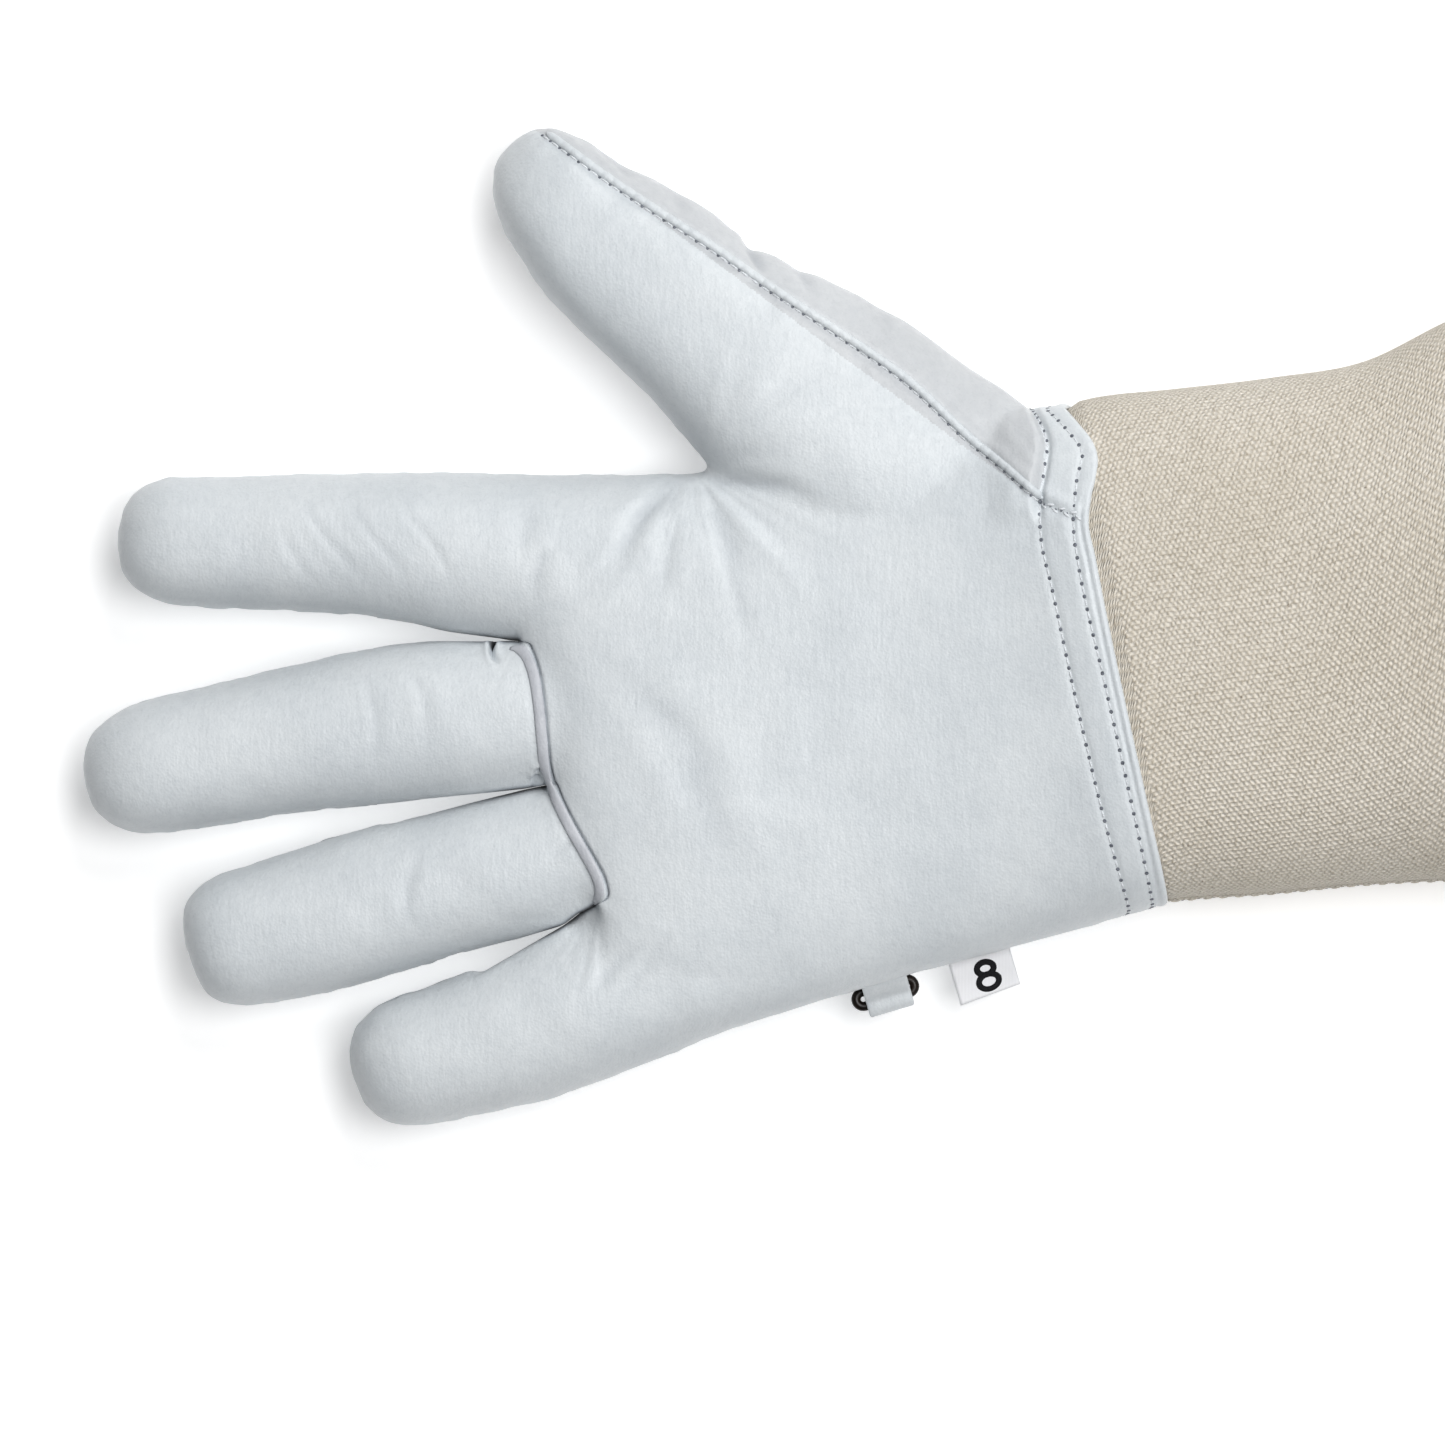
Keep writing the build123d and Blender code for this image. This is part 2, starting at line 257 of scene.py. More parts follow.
def superellipse(angles, squareness):
    """Unit outline between a circle and a square, as two coordinates."""
    c, s = np.cos(angles), np.sin(angles)
    power = 2.0 / squareness
    return np.sign(c) * np.abs(c) ** power, np.sign(s) * np.abs(s) ** power


def digit_axes(name):
    """A digit's fold point in plan, its heading, and the direction across it to the thumb side."""
    joint = JOINTS[DIGITS[name]["joint"]]
    fold = np.array(joint["pos_m"], float) / MM * [1, 1, 0]
    axis = joint["axis"]
    heading = np.array([-axis[1], axis[0], 0.0])
    return fold, heading, np.array([heading[1], -heading[0], 0.0])


def side_of_route(points, route):
    """Distance in plan from a line of straight runs, positive to its left, how far along it the nearest place is,
    the direction to its left there, and its length."""
    flat = points[:, :2]
    route = np.array(route, float)[:, :2]
    best = np.full(len(flat), 1e6)
    side, along = np.zeros(len(flat)), np.zeros(len(flat))
    left = np.zeros((len(flat), 3))
    start = 0.0
    for a, b in zip(route, route[1:]):
        length = np.linalg.norm(b - a)
        run = (b - a) / length
        ahead = (flat - a) @ run
        gap = np.linalg.norm(flat - a - np.clip(ahead, 0, length)[:, None] * run, axis=1)
        closer = gap < best
        side[closer] = ((flat - a) @ [-run[1], run[0]])[closer]
        along[closer] = start + ahead[closer]
        left[closer] = [-run[1], run[0], 0]
        best = np.minimum(best, gap)
        start += length
    return side, along, left, start


def keep_from_slits(points, name):
    """Moves a finger's points back from the middle of the gaps beside it, to leave the wide gaps that are built."""
    for thumb_side, other_side, table in SLITS:
        if name in (thumb_side, other_side):
            sign = 1 if name == thumb_side else -1
            side, along, left, length = side_of_route(points, table)
            short = np.maximum(BUILT_HALF_GAP, half_gap(table, along)) - sign * side
            beside = (along > 0) & (along < length) & (short > 0) & (short < 8)
            points = points + (sign * short * beside)[:, None] * left
    return points


def close_slits(points):
    """Presses the fingers together beside each gap, down to the gap's own width."""
    for _, _, table in SLITS:
        side, along, left, length = side_of_route(points, table)
        half = half_gap(table, along)
        room = np.maximum(BUILT_HALF_GAP - half, 0) * (1 - ease(along, length + 0.5, length + 5))
        gap = np.abs(side)
        pull = np.where(gap > BUILT_HALF_GAP, np.exp(-(gap - BUILT_HALF_GAP) / 3.0), gap / BUILT_HALF_GAP)
        points = points - (np.sign(side) * room * pull)[:, None] * left
    return points


def half_gap(table, along):
    """Half the width of a gap between fingers, that far along its line."""
    steps = np.linalg.norm(np.diff(np.array(table)[:, :2], axis=0), axis=1)
    return np.interp(along, np.r_[0, np.cumsum(steps)], [row[2] for row in table])


def digit_rings(name, count):
    """Closed rings of points along a digit, from inside the hand to its tip."""
    spec = DIGITS[name]
    fold, heading, side = digit_axes(name)
    first = spec["stations"][0][0]
    round_from, end, squareness = spec["tip"]
    body = np.linspace(first, round_from, 40, endpoint=False)
    tip = round_from + (end - round_from) * np.sin(np.linspace(0, pi / 2, 18))
    tip[-1] -= 0.02
    angles = ring_of_angles(count)
    across, upward = superellipse(angles, spec["fullness"])
    rings = []
    for s, (low, high) in zip(np.r_[body, tip], smooth_values(spec["stations"], np.r_[body, tip])):
        shrink = max(0.0, 1 - (max(0.0, (s - round_from) / (end - round_from))) ** squareness) ** (1 / squareness)
        base_low, base_top, tip_low, tip_top = spec["heights"]
        share = min(1.0, max(0.0, s / end))
        bottom = base_low + (tip_low - base_low) * share
        top = base_top + (tip_top - base_top) * share
        n = (high - low) / 2 + (high + low) / 2 * shrink * across
        z = (top + bottom) / 2 + (top - bottom) / 2 * shrink ** 0.9 * upward
        rings.append(keep_from_slits(fold + s * heading + n[:, None] * side + z[:, None] * UP, name))
    return rings


def palm_rings(count):
    across, upward = superellipse(ring_of_angles(count), 3.0)
    rings = []
    where = np.linspace(PALM[0][0], PALM[-1][0], 60)
    for u, (low, high, top) in zip(where, smooth_values(PALM, where)):
        v = (high + low) / 2 + (high - low) / 2 * across
        z = (top + FLOOR_GAP) / 2 + (top - FLOOR_GAP) / 2 * upward
        front = smooth_values(PALM_FRONT, v)[:, 0]
        rings.append(from_hand(np.maximum(u, front + 0.02 * (u - PALM[0][0])), v, z))
    return rings


def closed_tube(rings):
    """Points and faces of a tube through rings, closed at both ends."""
    count = len(rings[0])
    points = np.vstack([*rings, rings[0].mean(axis=0), rings[-1].mean(axis=0)])
    faces = []
    for r in range(len(rings) - 1):
        for i in range(count):
            j = (i + 1) % count
            faces.append((r * count + i, r * count + j, (r + 1) * count + j, (r + 1) * count + i))
    last = (len(rings) - 1) * count
    start_cap, end_cap = len(rings) * count, len(rings) * count + 1
    for i in range(count):
        j = (i + 1) % count
        faces.append((j, i, start_cap))
        faces.append((last + i, last + j, end_cap))
    return points, faces


def new_object(name, points, faces):
    mesh = bpy.data.meshes.new(name)
    mesh.from_pydata((np.asarray(points) * MM).tolist(), [], [tuple(f) for f in faces])
    mesh.validate()
    mesh.update()
    obj = bpy.data.objects.new(name, mesh)
    bpy.context.scene.collection.objects.link(obj)
    return obj


def apply_modifiers(obj):
    """Bakes an object's modifiers into its mesh."""
    graph = bpy.context.evaluated_depsgraph_get()
    baked = bpy.data.meshes.new_from_object(obj.evaluated_get(graph), depsgraph=graph)
    obj.modifiers.clear()
    old = obj.data
    obj.data = baked
    bpy.data.meshes.remove(old)


def mesh_points(mesh):
    points = np.empty(len(mesh.vertices) * 3)
    mesh.vertices.foreach_get("co", points)
    return points.reshape(-1, 3) / MM


def mesh_normals(mesh):
    normals = np.empty(len(mesh.vertices) * 3)
    mesh.vertex_normals.foreach_get("vector", normals)
    return normals.reshape(-1, 3)


def set_points(mesh, points):
    mesh.vertices.foreach_set("co", (points * MM).ravel())
    mesh.update()


def noise_field(points, size, seed):
    """Smooth noise from -1 to 1 with features of the given size."""
    table = np.random.default_rng(seed).uniform(-1, 1, 4096)
    scaled = np.asarray(points, float) / size
    cell = np.floor(scaled).astype(np.int64)
    share = scaled - cell
    share = share * share * (3 - 2 * share)
    value = np.zeros(len(scaled))
    for corner in product((0, 1), repeat=3):
        hashed = (cell + corner) @ np.array([7919, 104729, 1299709])
        weight = np.where(corner, share, 1 - share).prod(axis=1)
        value += weight * table[(hashed ^ (hashed >> 7)) % 4096]
    return value


def distance_to_route(points, route):
    """Distance in plan from points to a line of straight runs, and where along the line (0 to 1) the nearest place is."""
    flat = points[:, :2]
    route = np.array(route, float)[:, :2]
    best = np.full(len(flat), 1e6)
    share = np.zeros(len(flat))
    for k, (a, b) in enumerate(zip(route, route[1:])):
        run = b - a
        t = np.clip(((flat - a) @ run) / (run @ run), 0, 1)
        gap = np.linalg.norm(flat - a - t[:, None] * run, axis=1)
        share = np.where(gap < best, (k + t) / (len(route) - 1), share)
        best = np.minimum(best, gap)
    return best, share


def fold_depth(points, depth, width, route, from_edge=False):
    """How far a fold along a route sinks the surface, with a slight rise on both sides of it. It fades towards its
    ends, but starts in full when it starts at the outline."""
    gap, share = distance_to_route(points, smooth_path(route, 14))
    shape = np.exp(-((gap / width) ** 2)) - 0.35 * np.exp(-(((gap - 2.1 * width) / (1.1 * width)) ** 2))
    shape *= 1 - ease(share, 0.5, 1.0)
    if not from_edge:
        shape *= ease(share, -0.05, 0.3)
    return depth * shape


def fan_depth(points, centre, direction, half_angle, reach, depth, spokes):
    """Small folds that spread from a centre."""
    offset = points[:, :2] - centre
    away = np.linalg.norm(offset, axis=1)
    turn = np.arctan2(offset[:, 1], offset[:, 0]) - radians(direction)
    turn = (turn + pi) % (2 * pi) - pi
    window = ease(away, 1.5, 9) * (1 - ease(away, reach * 0.4, reach))
    window *= 1 - ease(np.abs(turn), radians(half_angle * 0.5), radians(half_angle))
    place = np.column_stack([turn * spokes, away / 22, np.full(len(points), centre[0])])
    value = noise_field(place, 1.0, 11) + 0.5 * noise_field(place * [2.3, 1.5, 1], 1.0, 12)
    return depth * window * value


def hem_line(name, v, z):
    """u of a line round the hem, at points that far across and high."""
    palm, back = HEM_LINES[name]
    return back + (smooth_values(palm, v)[:, 0] - back) * ease(np.asarray(z, float), 12, 34)


def open_wrist(obj):
    """Cuts the closed shape open at the hem's edge and turns the edge inwards, as a folded hem."""
    bm = bmesh.new()
    bm.from_mesh(obj.data)
    geometry = bm.verts[:] + bm.edges[:] + bm.faces[:]
    edge_point = Vector(from_hand(HEM_EDGE, 0, 0) * MM)
    bmesh.ops.bisect_plane(bm, geom=geometry, plane_co=edge_point, plane_no=Vector(ALONG), clear_outer=True)
    bm.normal_update()
    rim = [e for e in bm.edges if e.is_boundary]
    inward = {}
    for vert in {v for e in rim for v in e.verts}:
        flat = vert.normal - vert.normal.dot(Vector(ALONG)) * Vector(ALONG)
        inward[tuple(round(c, 7) for c in vert.co)] = -flat.normalized()
    for forward, depth in ((0.7, 0.25), (0.1, 0.9), (-0.8, 0.35), (-5.0, 0.0)):
        made = bmesh.ops.extrude_edge_only(bm, edges=rim)["geom"]
        rim = [g for g in made if isinstance(g, bmesh.types.BMEdge) and g.is_boundary]
        moved = {}
        for vert in {v for e in rim for v in e.verts}:
            direction = inward[tuple(round(c, 7) for c in vert.co)]
            vert.co += Vector(ALONG) * forward * MM + direction * depth * MM
            moved[tuple(round(c, 7) for c in vert.co)] = direction
        inward = moved
    bm.to_mesh(obj.data)
    bm.free()


def soften_knuckles(obj):
    """Evens out the palm side where the palm runs into the digits, away from the gaps between them."""
    points = mesh_points(obj.data)
    u, _, z = to_hand(points)
    weight = ease(z, 17, 24) * ease(u, -74, -66) * (1 - ease(u, -42, -34))
    thumb_root = np.linalg.norm(points[:, :2] - [-14, 52], axis=1)
    weight = np.maximum(weight, ease(z, 17, 24) * (1 - ease(thumb_root, 14, 26)))
    for _, _, table in SLITS:
        side, along, _, length = side_of_route(points, table)
        weight *= np.maximum(ease(np.abs(side), BUILT_HALF_GAP, 3.0), ease(along, length + 0.3, length + 2))
    group = obj.vertex_groups.new(name="knuckles")
    for index in np.nonzero(weight > 0.01)[0]:
        group.add([int(index)], float(weight[index]), "REPLACE")
    soften = obj.modifiers.new("soften", "SMOOTH")
    soften.factor = 0.6
    soften.iterations = 90
    soften.vertex_group = "knuckles"
    apply_modifiers(obj)


def make_hand_form():
    """The whole leather hand as one smooth surface."""
    points, faces = closed_tube(palm_rings(96))
    for name in DIGITS:
        more, more_faces = closed_tube(digit_rings(name, 64))
        faces += [tuple(i + len(points) for i in face) for face in more_faces]
        points = np.vstack([points, more])
    obj = new_object("hand_form", points, faces)
    remesh = obj.modifiers.new("remesh", "REMESH")
    remesh.mode = "VOXEL"
    remesh.voxel_size = 0.85 * MM
    relax = obj.modifiers.new("relax", "SMOOTH")
    relax.factor = 0.5
    relax.iterations = 9
    apply_modifiers(obj)
    soften_knuckles(obj)
    open_wrist(obj)
    subdivide = obj.modifiers.new("subdivide", "SUBSURF")
    subdivide.levels = subdivide.render_levels = 1
    apply_modifiers(obj)
    return obj


def in_digit_axes(points, name):
    fold, heading, side = digit_axes(name)
    return (points - fold) @ heading, (points - fold) @ side


def seam_side(points):
    """Distance in plan from the thumb seam, positive on its outer side."""
    tip, wrist = np.array(THUMB_SEAM[-1], float), np.array(THUMB_SEAM[2], float)
    run = (wrist - tip) / np.linalg.norm(wrist - tip)
    return (points[:, :2] - tip) @ np.array([-run[1], run[0]])


def detail_leather(obj):
    """Moves the smooth form's surface: soft waves, creases, gathers and sunken seams. Returns painted shade for each
    point: grey in deep folds and seams, near black on the walls of the tight gaps between fingers and in the crevice
    beside the welt.
    """
    mesh = obj.data
    points = mesh_points(mesh)
    normals = mesh_normals(mesh)
    u, v, z = to_hand(points)
    on_palm_side = ease(z, SEAM_HEIGHT + 1, SEAM_HEIGHT + 8)
    hand_part = 1 - ease(u, 46, 49)

    depth = np.zeros(len(points))
    warped = points + 1.6 * np.column_stack([noise_field(points, 9, s) for s in (1, 2, 3)])
    for sink, width, route in FOLDS:
        depth += fold_depth(warped, sink, width, route) * on_palm_side
    for sink, width, route in THUMB_FOLDS:
        depth += fold_depth(points, sink, width, route, from_edge=True)
    for fan in FANS:
        depth += fan_depth(points, *fan) * on_palm_side

    # slit is painted shade on the walls of the tight gaps between fingers; calm is where the surface is kept still
    # between them.
    slit, calm = np.zeros(len(points)), np.ones(len(points))
    for _, _, table in SLITS:
        side, along, _, length = side_of_route(points, table)
        wall = np.exp(-((np.maximum(np.abs(side) - BUILT_HALF_GAP, 0) / 0.4) ** 2)) * ease(z, SEAM_HEIGHT - 6, SEAM_HEIGHT)
        tight = (1 - ease(half_gap(table, along), 0.2, 0.9)) * (along > 0) * (1 - ease(along, length - 0.4, length + 0.6))
        slit = np.maximum(slit, wall * tight)
        between = (1 - ease(np.abs(side), 1.8, 5.5)) * (along > 0) * (1 - ease(along, length, length + 3))
        calm = np.minimum(calm, 1 - between)
    palm_edge, share = distance_to_route(points, offset_route(smooth_path(WELT_ROUTE, 60), -WELT_WIDTH / 2 + 0.05))
    crevice = np.exp(-((palm_edge / 0.36) ** 2)) * on_palm_side * ease(share, 0, 0.06) * (1 - ease(share, 0.97, 1))
    depth += 0.75 * crevice
    finger_edge, share = distance_to_route(points, offset_route(smooth_path(WELT_ROUTE, 60), WELT_WIDTH / 2 + 0.5))
    depth += 0.12 * np.exp(-((finger_edge / 0.6) ** 2)) * on_palm_side * ease(share, 0.0, 0.1)

    thumb_route = smooth_path(THUMB_SEAM, 60)
    thumb_seam, _ = distance_to_route(points, thumb_route)
    depth += 0.35 * np.exp(-((thumb_seam / 1.0) ** 2)) * on_palm_side
    roll, _ = distance_to_route(points, offset_route(thumb_route, 2.0))
    depth -= 0.40 * np.exp(-((roll / 1.1) ** 2)) * on_palm_side
    side_seam = np.exp(-(((z - SEAM_HEIGHT) / 1.0) ** 2)) * hand_part
    depth += 0.75 * side_seam
    # Painted shade: grey in deep folds and seams, near black where the fingers press together, darker in the crevice
    # beside the welt.
    dark = np.clip(0.5 * np.clip(depth / 1.2, 0, 1) + 0.95 * slit + 0.42 * crevice, 0, 1)

    near_seam = np.exp(-(((z - SEAM_HEIGHT) / 4.0) ** 2)) * hand_part + np.exp(-((thumb_seam / 4.0) ** 2)) * on_palm_side
    uneven = 0.30 * near_seam * noise_field(points, 2.6, 4)
    uneven += (0.35 * noise_field(points, 19, 5) + 0.12 * noise_field(points, 6, 6)) * hand_part
    depth -= uneven * calm

    # The hem: stitch lines pull in, a groove runs before the edge, and leather puffs over the thumb's end of the hem.
    upper, lower, edge = (hem_line(name, v, z) for name in ("upper", "lower", "edge"))
    flared = u + (edge - HEM_EDGE) * ease(u, 48, HEM_EDGE)
    for row in (upper, lower):
        depth += 0.24 * np.exp(-(((flared - row) / 0.8) ** 2))
    thumb_end = ease(v, 26, 32) * ease(z, 22, 32)
    depth += 0.9 * thumb_end * np.exp(-(((flared - upper + 0.1) / 0.8) ** 2))
    depth -= 1.3 * thumb_end * ease(flared, upper - 12, upper - 4) * (1 - ease(flared, upper - 2.2, upper))
    depth += 0.4 * np.exp(-(((flared - edge + 1.1) / 0.42) ** 2)) * (1 - thumb_end)
    points += ((edge - HEM_EDGE) * ease(u, 48, HEM_EDGE))[:, None] * ALONG
    points -= normals * depth[:, None]
    points = close_slits(points)
    points[:, 2] = np.maximum(points[:, 2], FLOOR_GAP)
    set_points(mesh, points)
    return dark


def offset_route(route, distance):
    """A line beside another in plan, to its right for a positive distance."""
    ahead = np.gradient(route, axis=0)
    ahead /= np.linalg.norm(ahead, axis=1)[:, None]
    return route + distance * np.column_stack([ahead[:, 1], -ahead[:, 0]])


# ------------------------------------------------------------------ materials


def new_material(name, colour, roughness):
    material = bpy.data.materials.new(name)
    material.use_nodes = True
    shader = material.node_tree.nodes["Principled BSDF"]
    shader.inputs["Base Color"].default_value = (*colour, 1)
    shader.inputs["Roughness"].default_value = roughness
    return material, material.node_tree, shader


def add_node(tree, kind, **settings):
    node = tree.nodes.new(kind)
    for key, value in settings.items():
        if key in node.inputs:
            node.inputs[key].default_value = value
        else:
            setattr(node, key, value)
    return node


def rest_place(tree, scale, attribute="rest"):
    """The surface's place at rest, in millimetres, times a scale, so that a pattern stays put when it bends."""
    source = add_node(tree, "ShaderNodeAttribute", attribute_name=attribute)
    scaled = add_node(tree, "ShaderNodeVectorMath", operation="MULTIPLY")
    scaled.inputs[1].default_value = scale
    tree.links.new(source.outputs["Vector"], scaled.inputs[0])
    return scaled.outputs["Vector"]


def noise_texture(tree, place, scale, detail=3.0):
    node = add_node(tree, "ShaderNodeTexNoise", Scale=scale, Detail=detail)
    tree.links.new(place, node.inputs["Vector"])
    return node.outputs["Fac"]


def ramp(tree, value, stops):
    node = tree.nodes.new("ShaderNodeValToRGB")
    node.color_ramp.elements[0].position = stops[0][0]
    node.color_ramp.elements[0].color = (*stops[0][1], 1)
    node.color_ramp.elements[1].position = stops[-1][0]
    node.color_ramp.elements[1].color = (*stops[-1][1], 1)
    for position, colour in stops[1:-1]:
        node.color_ramp.elements.new(position).color = (*colour, 1)
    tree.links.new(value, node.inputs["Fac"])
    return node.outputs["Color"]


def mix_colour(tree, share, a, b, blend="MIX"):
    node = tree.nodes.new("ShaderNodeMix")
    node.data_type = "RGBA"
    node.blend_type = blend
    for value, socket in ((share, node.inputs[0]), (a, node.inputs[6]), (b, node.inputs[7])):
        if isinstance(value, (int, float)):
            socket.default_value = value
        elif isinstance(value, tuple):
            socket.default_value = (*value, 1)
        else:
            tree.links.new(value, socket)
    return node.outputs[2]


def calculate(tree, operation, a, b):
    node = add_node(tree, "ShaderNodeMath", operation=operation)
    for value, socket in ((a, node.inputs[0]), (b, node.inputs[1])):
        if isinstance(value, (int, float)):
            socket.default_value = value
        else:
            tree.links.new(value, socket)
    return node.outputs[0]


def bump(tree, shader, layers):
    """Adds bumps of (height, strength, distance in millimetres) to a shader."""
    normal = None
    for height, strength, distance in layers:
        node = add_node(tree, "ShaderNodeBump", Strength=strength, Distance=distance * MM)
        tree.links.new(height, node.inputs["Height"])
        if normal is not None:
            tree.links.new(normal, node.inputs["Normal"])
        normal = node.outputs["Normal"]
    tree.links.new(normal, shader.inputs["Normal"])


def leather_material(name, light, dark, crease_shade_colour):
    """Smooth goatskin: fine pebbled grain, faint wrinkles, painted cool grey shade in the creases and near-black
    painted shade in tight gaps, slight cloudy tone.
    """
    material, tree, shader = new_material(name, light, 0.5)
    place = rest_place(tree, (1, 1, 1))
    cloud = noise_texture(tree, place, 0.045, 4)
    colour = ramp(tree, cloud, [(0.35, dark), (0.62, light)])
    # Painted shade read from a per-point attribute: cool grey in creases and seams, near black in the tight gaps
    # between fingers.
    crease_shade = add_node(tree, "ShaderNodeAttribute", attribute_name="crease_shade")
    shade = ramp(tree, crease_shade.outputs["Fac"], [(0.0, (1, 1, 1)), (0.5, crease_shade_colour), (1.0, (0.035, 0.035, 0.04))])
    colour = mix_colour(tree, 1.0, colour, shade, "MULTIPLY")
    mottle = ramp(tree, noise_texture(tree, place, 0.55, 6), [(0.36, (0.945, 0.95, 0.955)), (0.60, (1, 1, 1))])
    colour = mix_colour(tree, 0.8, colour, mottle, "MULTIPLY")
    fleck = ramp(tree, noise_texture(tree, place, 1.7, 2), [(0.30, (0.90, 0.905, 0.91)), (0.44, (1, 1, 1))])
    colour = mix_colour(tree, 0.6, colour, fleck, "MULTIPLY")
    tree.links.new(colour, shader.inputs["Base Color"])
    cells = add_node(tree, "ShaderNodeTexVoronoi", Scale=1.7)
    tree.links.new(place, cells.inputs["Vector"])
    stretched = rest_place(tree, (0.9, 0.22, 0.5))
    wrinkles = noise_texture(tree, stretched, 1.0, 5)
    rough = ramp(tree, noise_texture(tree, place, 0.5, 5), [(0.3, (0.40,) * 3), (0.7, (0.56,) * 3)])
    tree.links.new(rough, shader.inputs["Roughness"])
    shader.inputs["Specular IOR Level"].default_value = 0.42
    shader.inputs["Sheen Weight"].default_value = 0.12
    shader.inputs["Sheen Roughness"].default_value = 0.4
    bump(tree, shader, [(wrinkles, 0.5, 0.22), (cells.outputs["Distance"], 0.35, 0.12), (noise_texture(tree, place, 3.4, 2), 0.2, 0.07)])
    return material


def canvas_material(name, light, dark):
    """Cotton duck: warp and weft threads with painted shade in the low places between them, uneven yarn, brown seed
    flecks, a few slubs.
    """
    material, tree, shader = new_material(name, light, 0.9)
    along_pitch, around_pitch = 1.12, 1.88
    place = rest_place(tree, (1, 1, 1), "cloth")
    wobble = noise_texture(tree, place, 0.45, 3)
    split = tree.nodes.new("ShaderNodeSeparateXYZ")
    tree.links.new(place, split.inputs[0])
    along = calculate(tree, "ADD", split.outputs[0], calculate(tree, "MULTIPLY", wobble, 1.3))
    around = calculate(tree, "ADD", split.outputs[1], calculate(tree, "MULTIPLY", wobble, 0.9))
    wave_along = calculate(tree, "SINE", calculate(tree, "MULTIPLY", along, 2 * pi / along_pitch), 0)
    wave_around = calculate(tree, "SINE", calculate(tree, "MULTIPLY", around, 2 * pi / around_pitch), 0)
    knots = calculate(tree, "MULTIPLY", calculate(tree, "MULTIPLY", wave_along, wave_around), 0.5)
    ribs = calculate(tree, "MULTIPLY", calculate(tree, "ABSOLUTE", wave_around, 0), 0.5)
    uneven = calculate(tree, "MULTIPLY", noise_texture(tree, place, 1.1, 4), 0.9)
    weave = calculate(tree, "ADD", calculate(tree, "ADD", knots, ribs), uneven)
    level = calculate(tree, "SUBTRACT", weave, 0.32)
    yarn = noise_texture(tree, rest_place(tree, (0.25, 1.4, 1), "cloth"), 1.0, 4)
    base = ramp(tree, yarn, [(0.3, dark), (0.7, light)])
    # Painted shade: the weave's low places, between the threads, are darker.
    tone = ramp(tree, level, [(0.0, (0.50, 0.46, 0.40)), (0.28, (0.86, 0.84, 0.81)), (0.7, (1, 1, 1))])
    colour = mix_colour(tree, 0.85, base, tone, "MULTIPLY")
    seeds = ramp(tree, noise_texture(tree, place, 0.8, 1), [(0.74, (0, 0, 0)), (0.78, (1, 1, 1))])
    colour = mix_colour(tree, calculate(tree, "MULTIPLY", seeds, 0.6), colour, (0.20, 0.15, 0.11))
    stain = ramp(tree, noise_texture(tree, place, 0.035, 3), [(0.35, (0.95, 0.94, 0.92)), (0.65, (1, 1, 1))])
    colour = mix_colour(tree, 1.0, colour, stain, "MULTIPLY")
    tree.links.new(colour, shader.inputs["Base Color"])
    rough = ramp(tree, yarn, [(0.2, (0.82,) * 3), (0.8, (0.95,) * 3)])
    tree.links.new(rough, shader.inputs["Roughness"])
    shader.inputs["Specular IOR Level"].default_value = 0.2
    shader.inputs["Sheen Weight"].default_value = 0.15
    bump(tree, shader, [(level, 0.8, 0.40), (yarn, 0.35, 0.12)])
    return material


def thread_material(name, colour, scale):
    """Twisted yarn."""
    material, tree, shader = new_material(name, colour, 0.6)
    place = rest_place(tree, (1, 1, 1))
    twist = noise_texture(tree, place, scale, 2)
    darker = tuple(c * 0.72 for c in colour)
    tree.links.new(ramp(tree, twist, [(0.35, darker), (0.6, colour)]), shader.inputs["Base Color"])
    bump(tree, shader, [(twist, 0.5, 0.06)])
    return material


def needle_hole_shade_material():
    """A needle hole drawn as a small dark disc on the surface: painted shade of its hollow."""
    material, tree, shader = new_material("needle_hole_painted_shade", (0.10, 0.11, 0.13), 0.8)
    place = rest_place(tree, (1, 1, 1))
    shade = ramp(tree, noise_texture(tree, place, 2.0, 1), [(0.3, (0.07, 0.078, 0.095)), (0.7, (0.19, 0.205, 0.24))])
    tree.links.new(shade, shader.inputs["Base Color"])
    return material


def ring_material():
    """Dark brown polished horn-like plastic."""
    material, tree, shader = new_material("dark_ring", (0.03, 0.018, 0.012), 0.3)
    streaks = noise_texture(tree, rest_place(tree, (0.5, 0.5, 0.5)), 1.0, 3)
    colour = ramp(tree, streaks, [(0.35, (0.004, 0.003, 0.002)), (0.72, (0.016, 0.009, 0.006))])
    tree.links.new(colour, shader.inputs["Base Color"])
    rough = ramp(tree, streaks, [(0.3, (0.26,) * 3), (0.7, (0.42,) * 3)])
    tree.links.new(rough, shader.inputs["Roughness"])
    shader.inputs["Specular IOR Level"].default_value = 0.25
    bump(tree, shader, [(streaks, 0.2, 0.05)])
    return material


def satin_material():
    """White woven satin tape."""
    material, tree, shader = new_material("satin", (0.83, 0.83, 0.85), 0.38)
    place = rest_place(tree, (1, 1, 1))
    fine = add_node(tree, "ShaderNodeTexWave", Scale=1.1, Distortion=0.6)
    fine.bands_direction = "X"
    tree.links.new(place, fine.inputs["Vector"])
    tone = ramp(tree, fine.outputs["Fac"], [(0.0, (0.78, 0.78, 0.80)), (1.0, (0.86, 0.86, 0.88))])
    tree.links.new(tone, shader.inputs["Base Color"])
    shader.inputs["Sheen Weight"].default_value = 0.3
    bump(tree, shader, [(fine.outputs["Fac"], 0.25, 0.05)])
    return material


def ink_material():
    material, tree, shader = new_material("ink", (0.02, 0.02, 0.022), 0.8)
    place = rest_place(tree, (1, 1, 1))
    tone = ramp(tree, noise_texture(tree, place, 3.0, 2), [(0.3, (0.006, 0.006, 0.007)), (0.7, (0.014, 0.014, 0.016))])
    tree.links.new(tone, shader.inputs["Base Color"])
    shader.inputs["Specular IOR Level"].default_value = 0.15
    return material
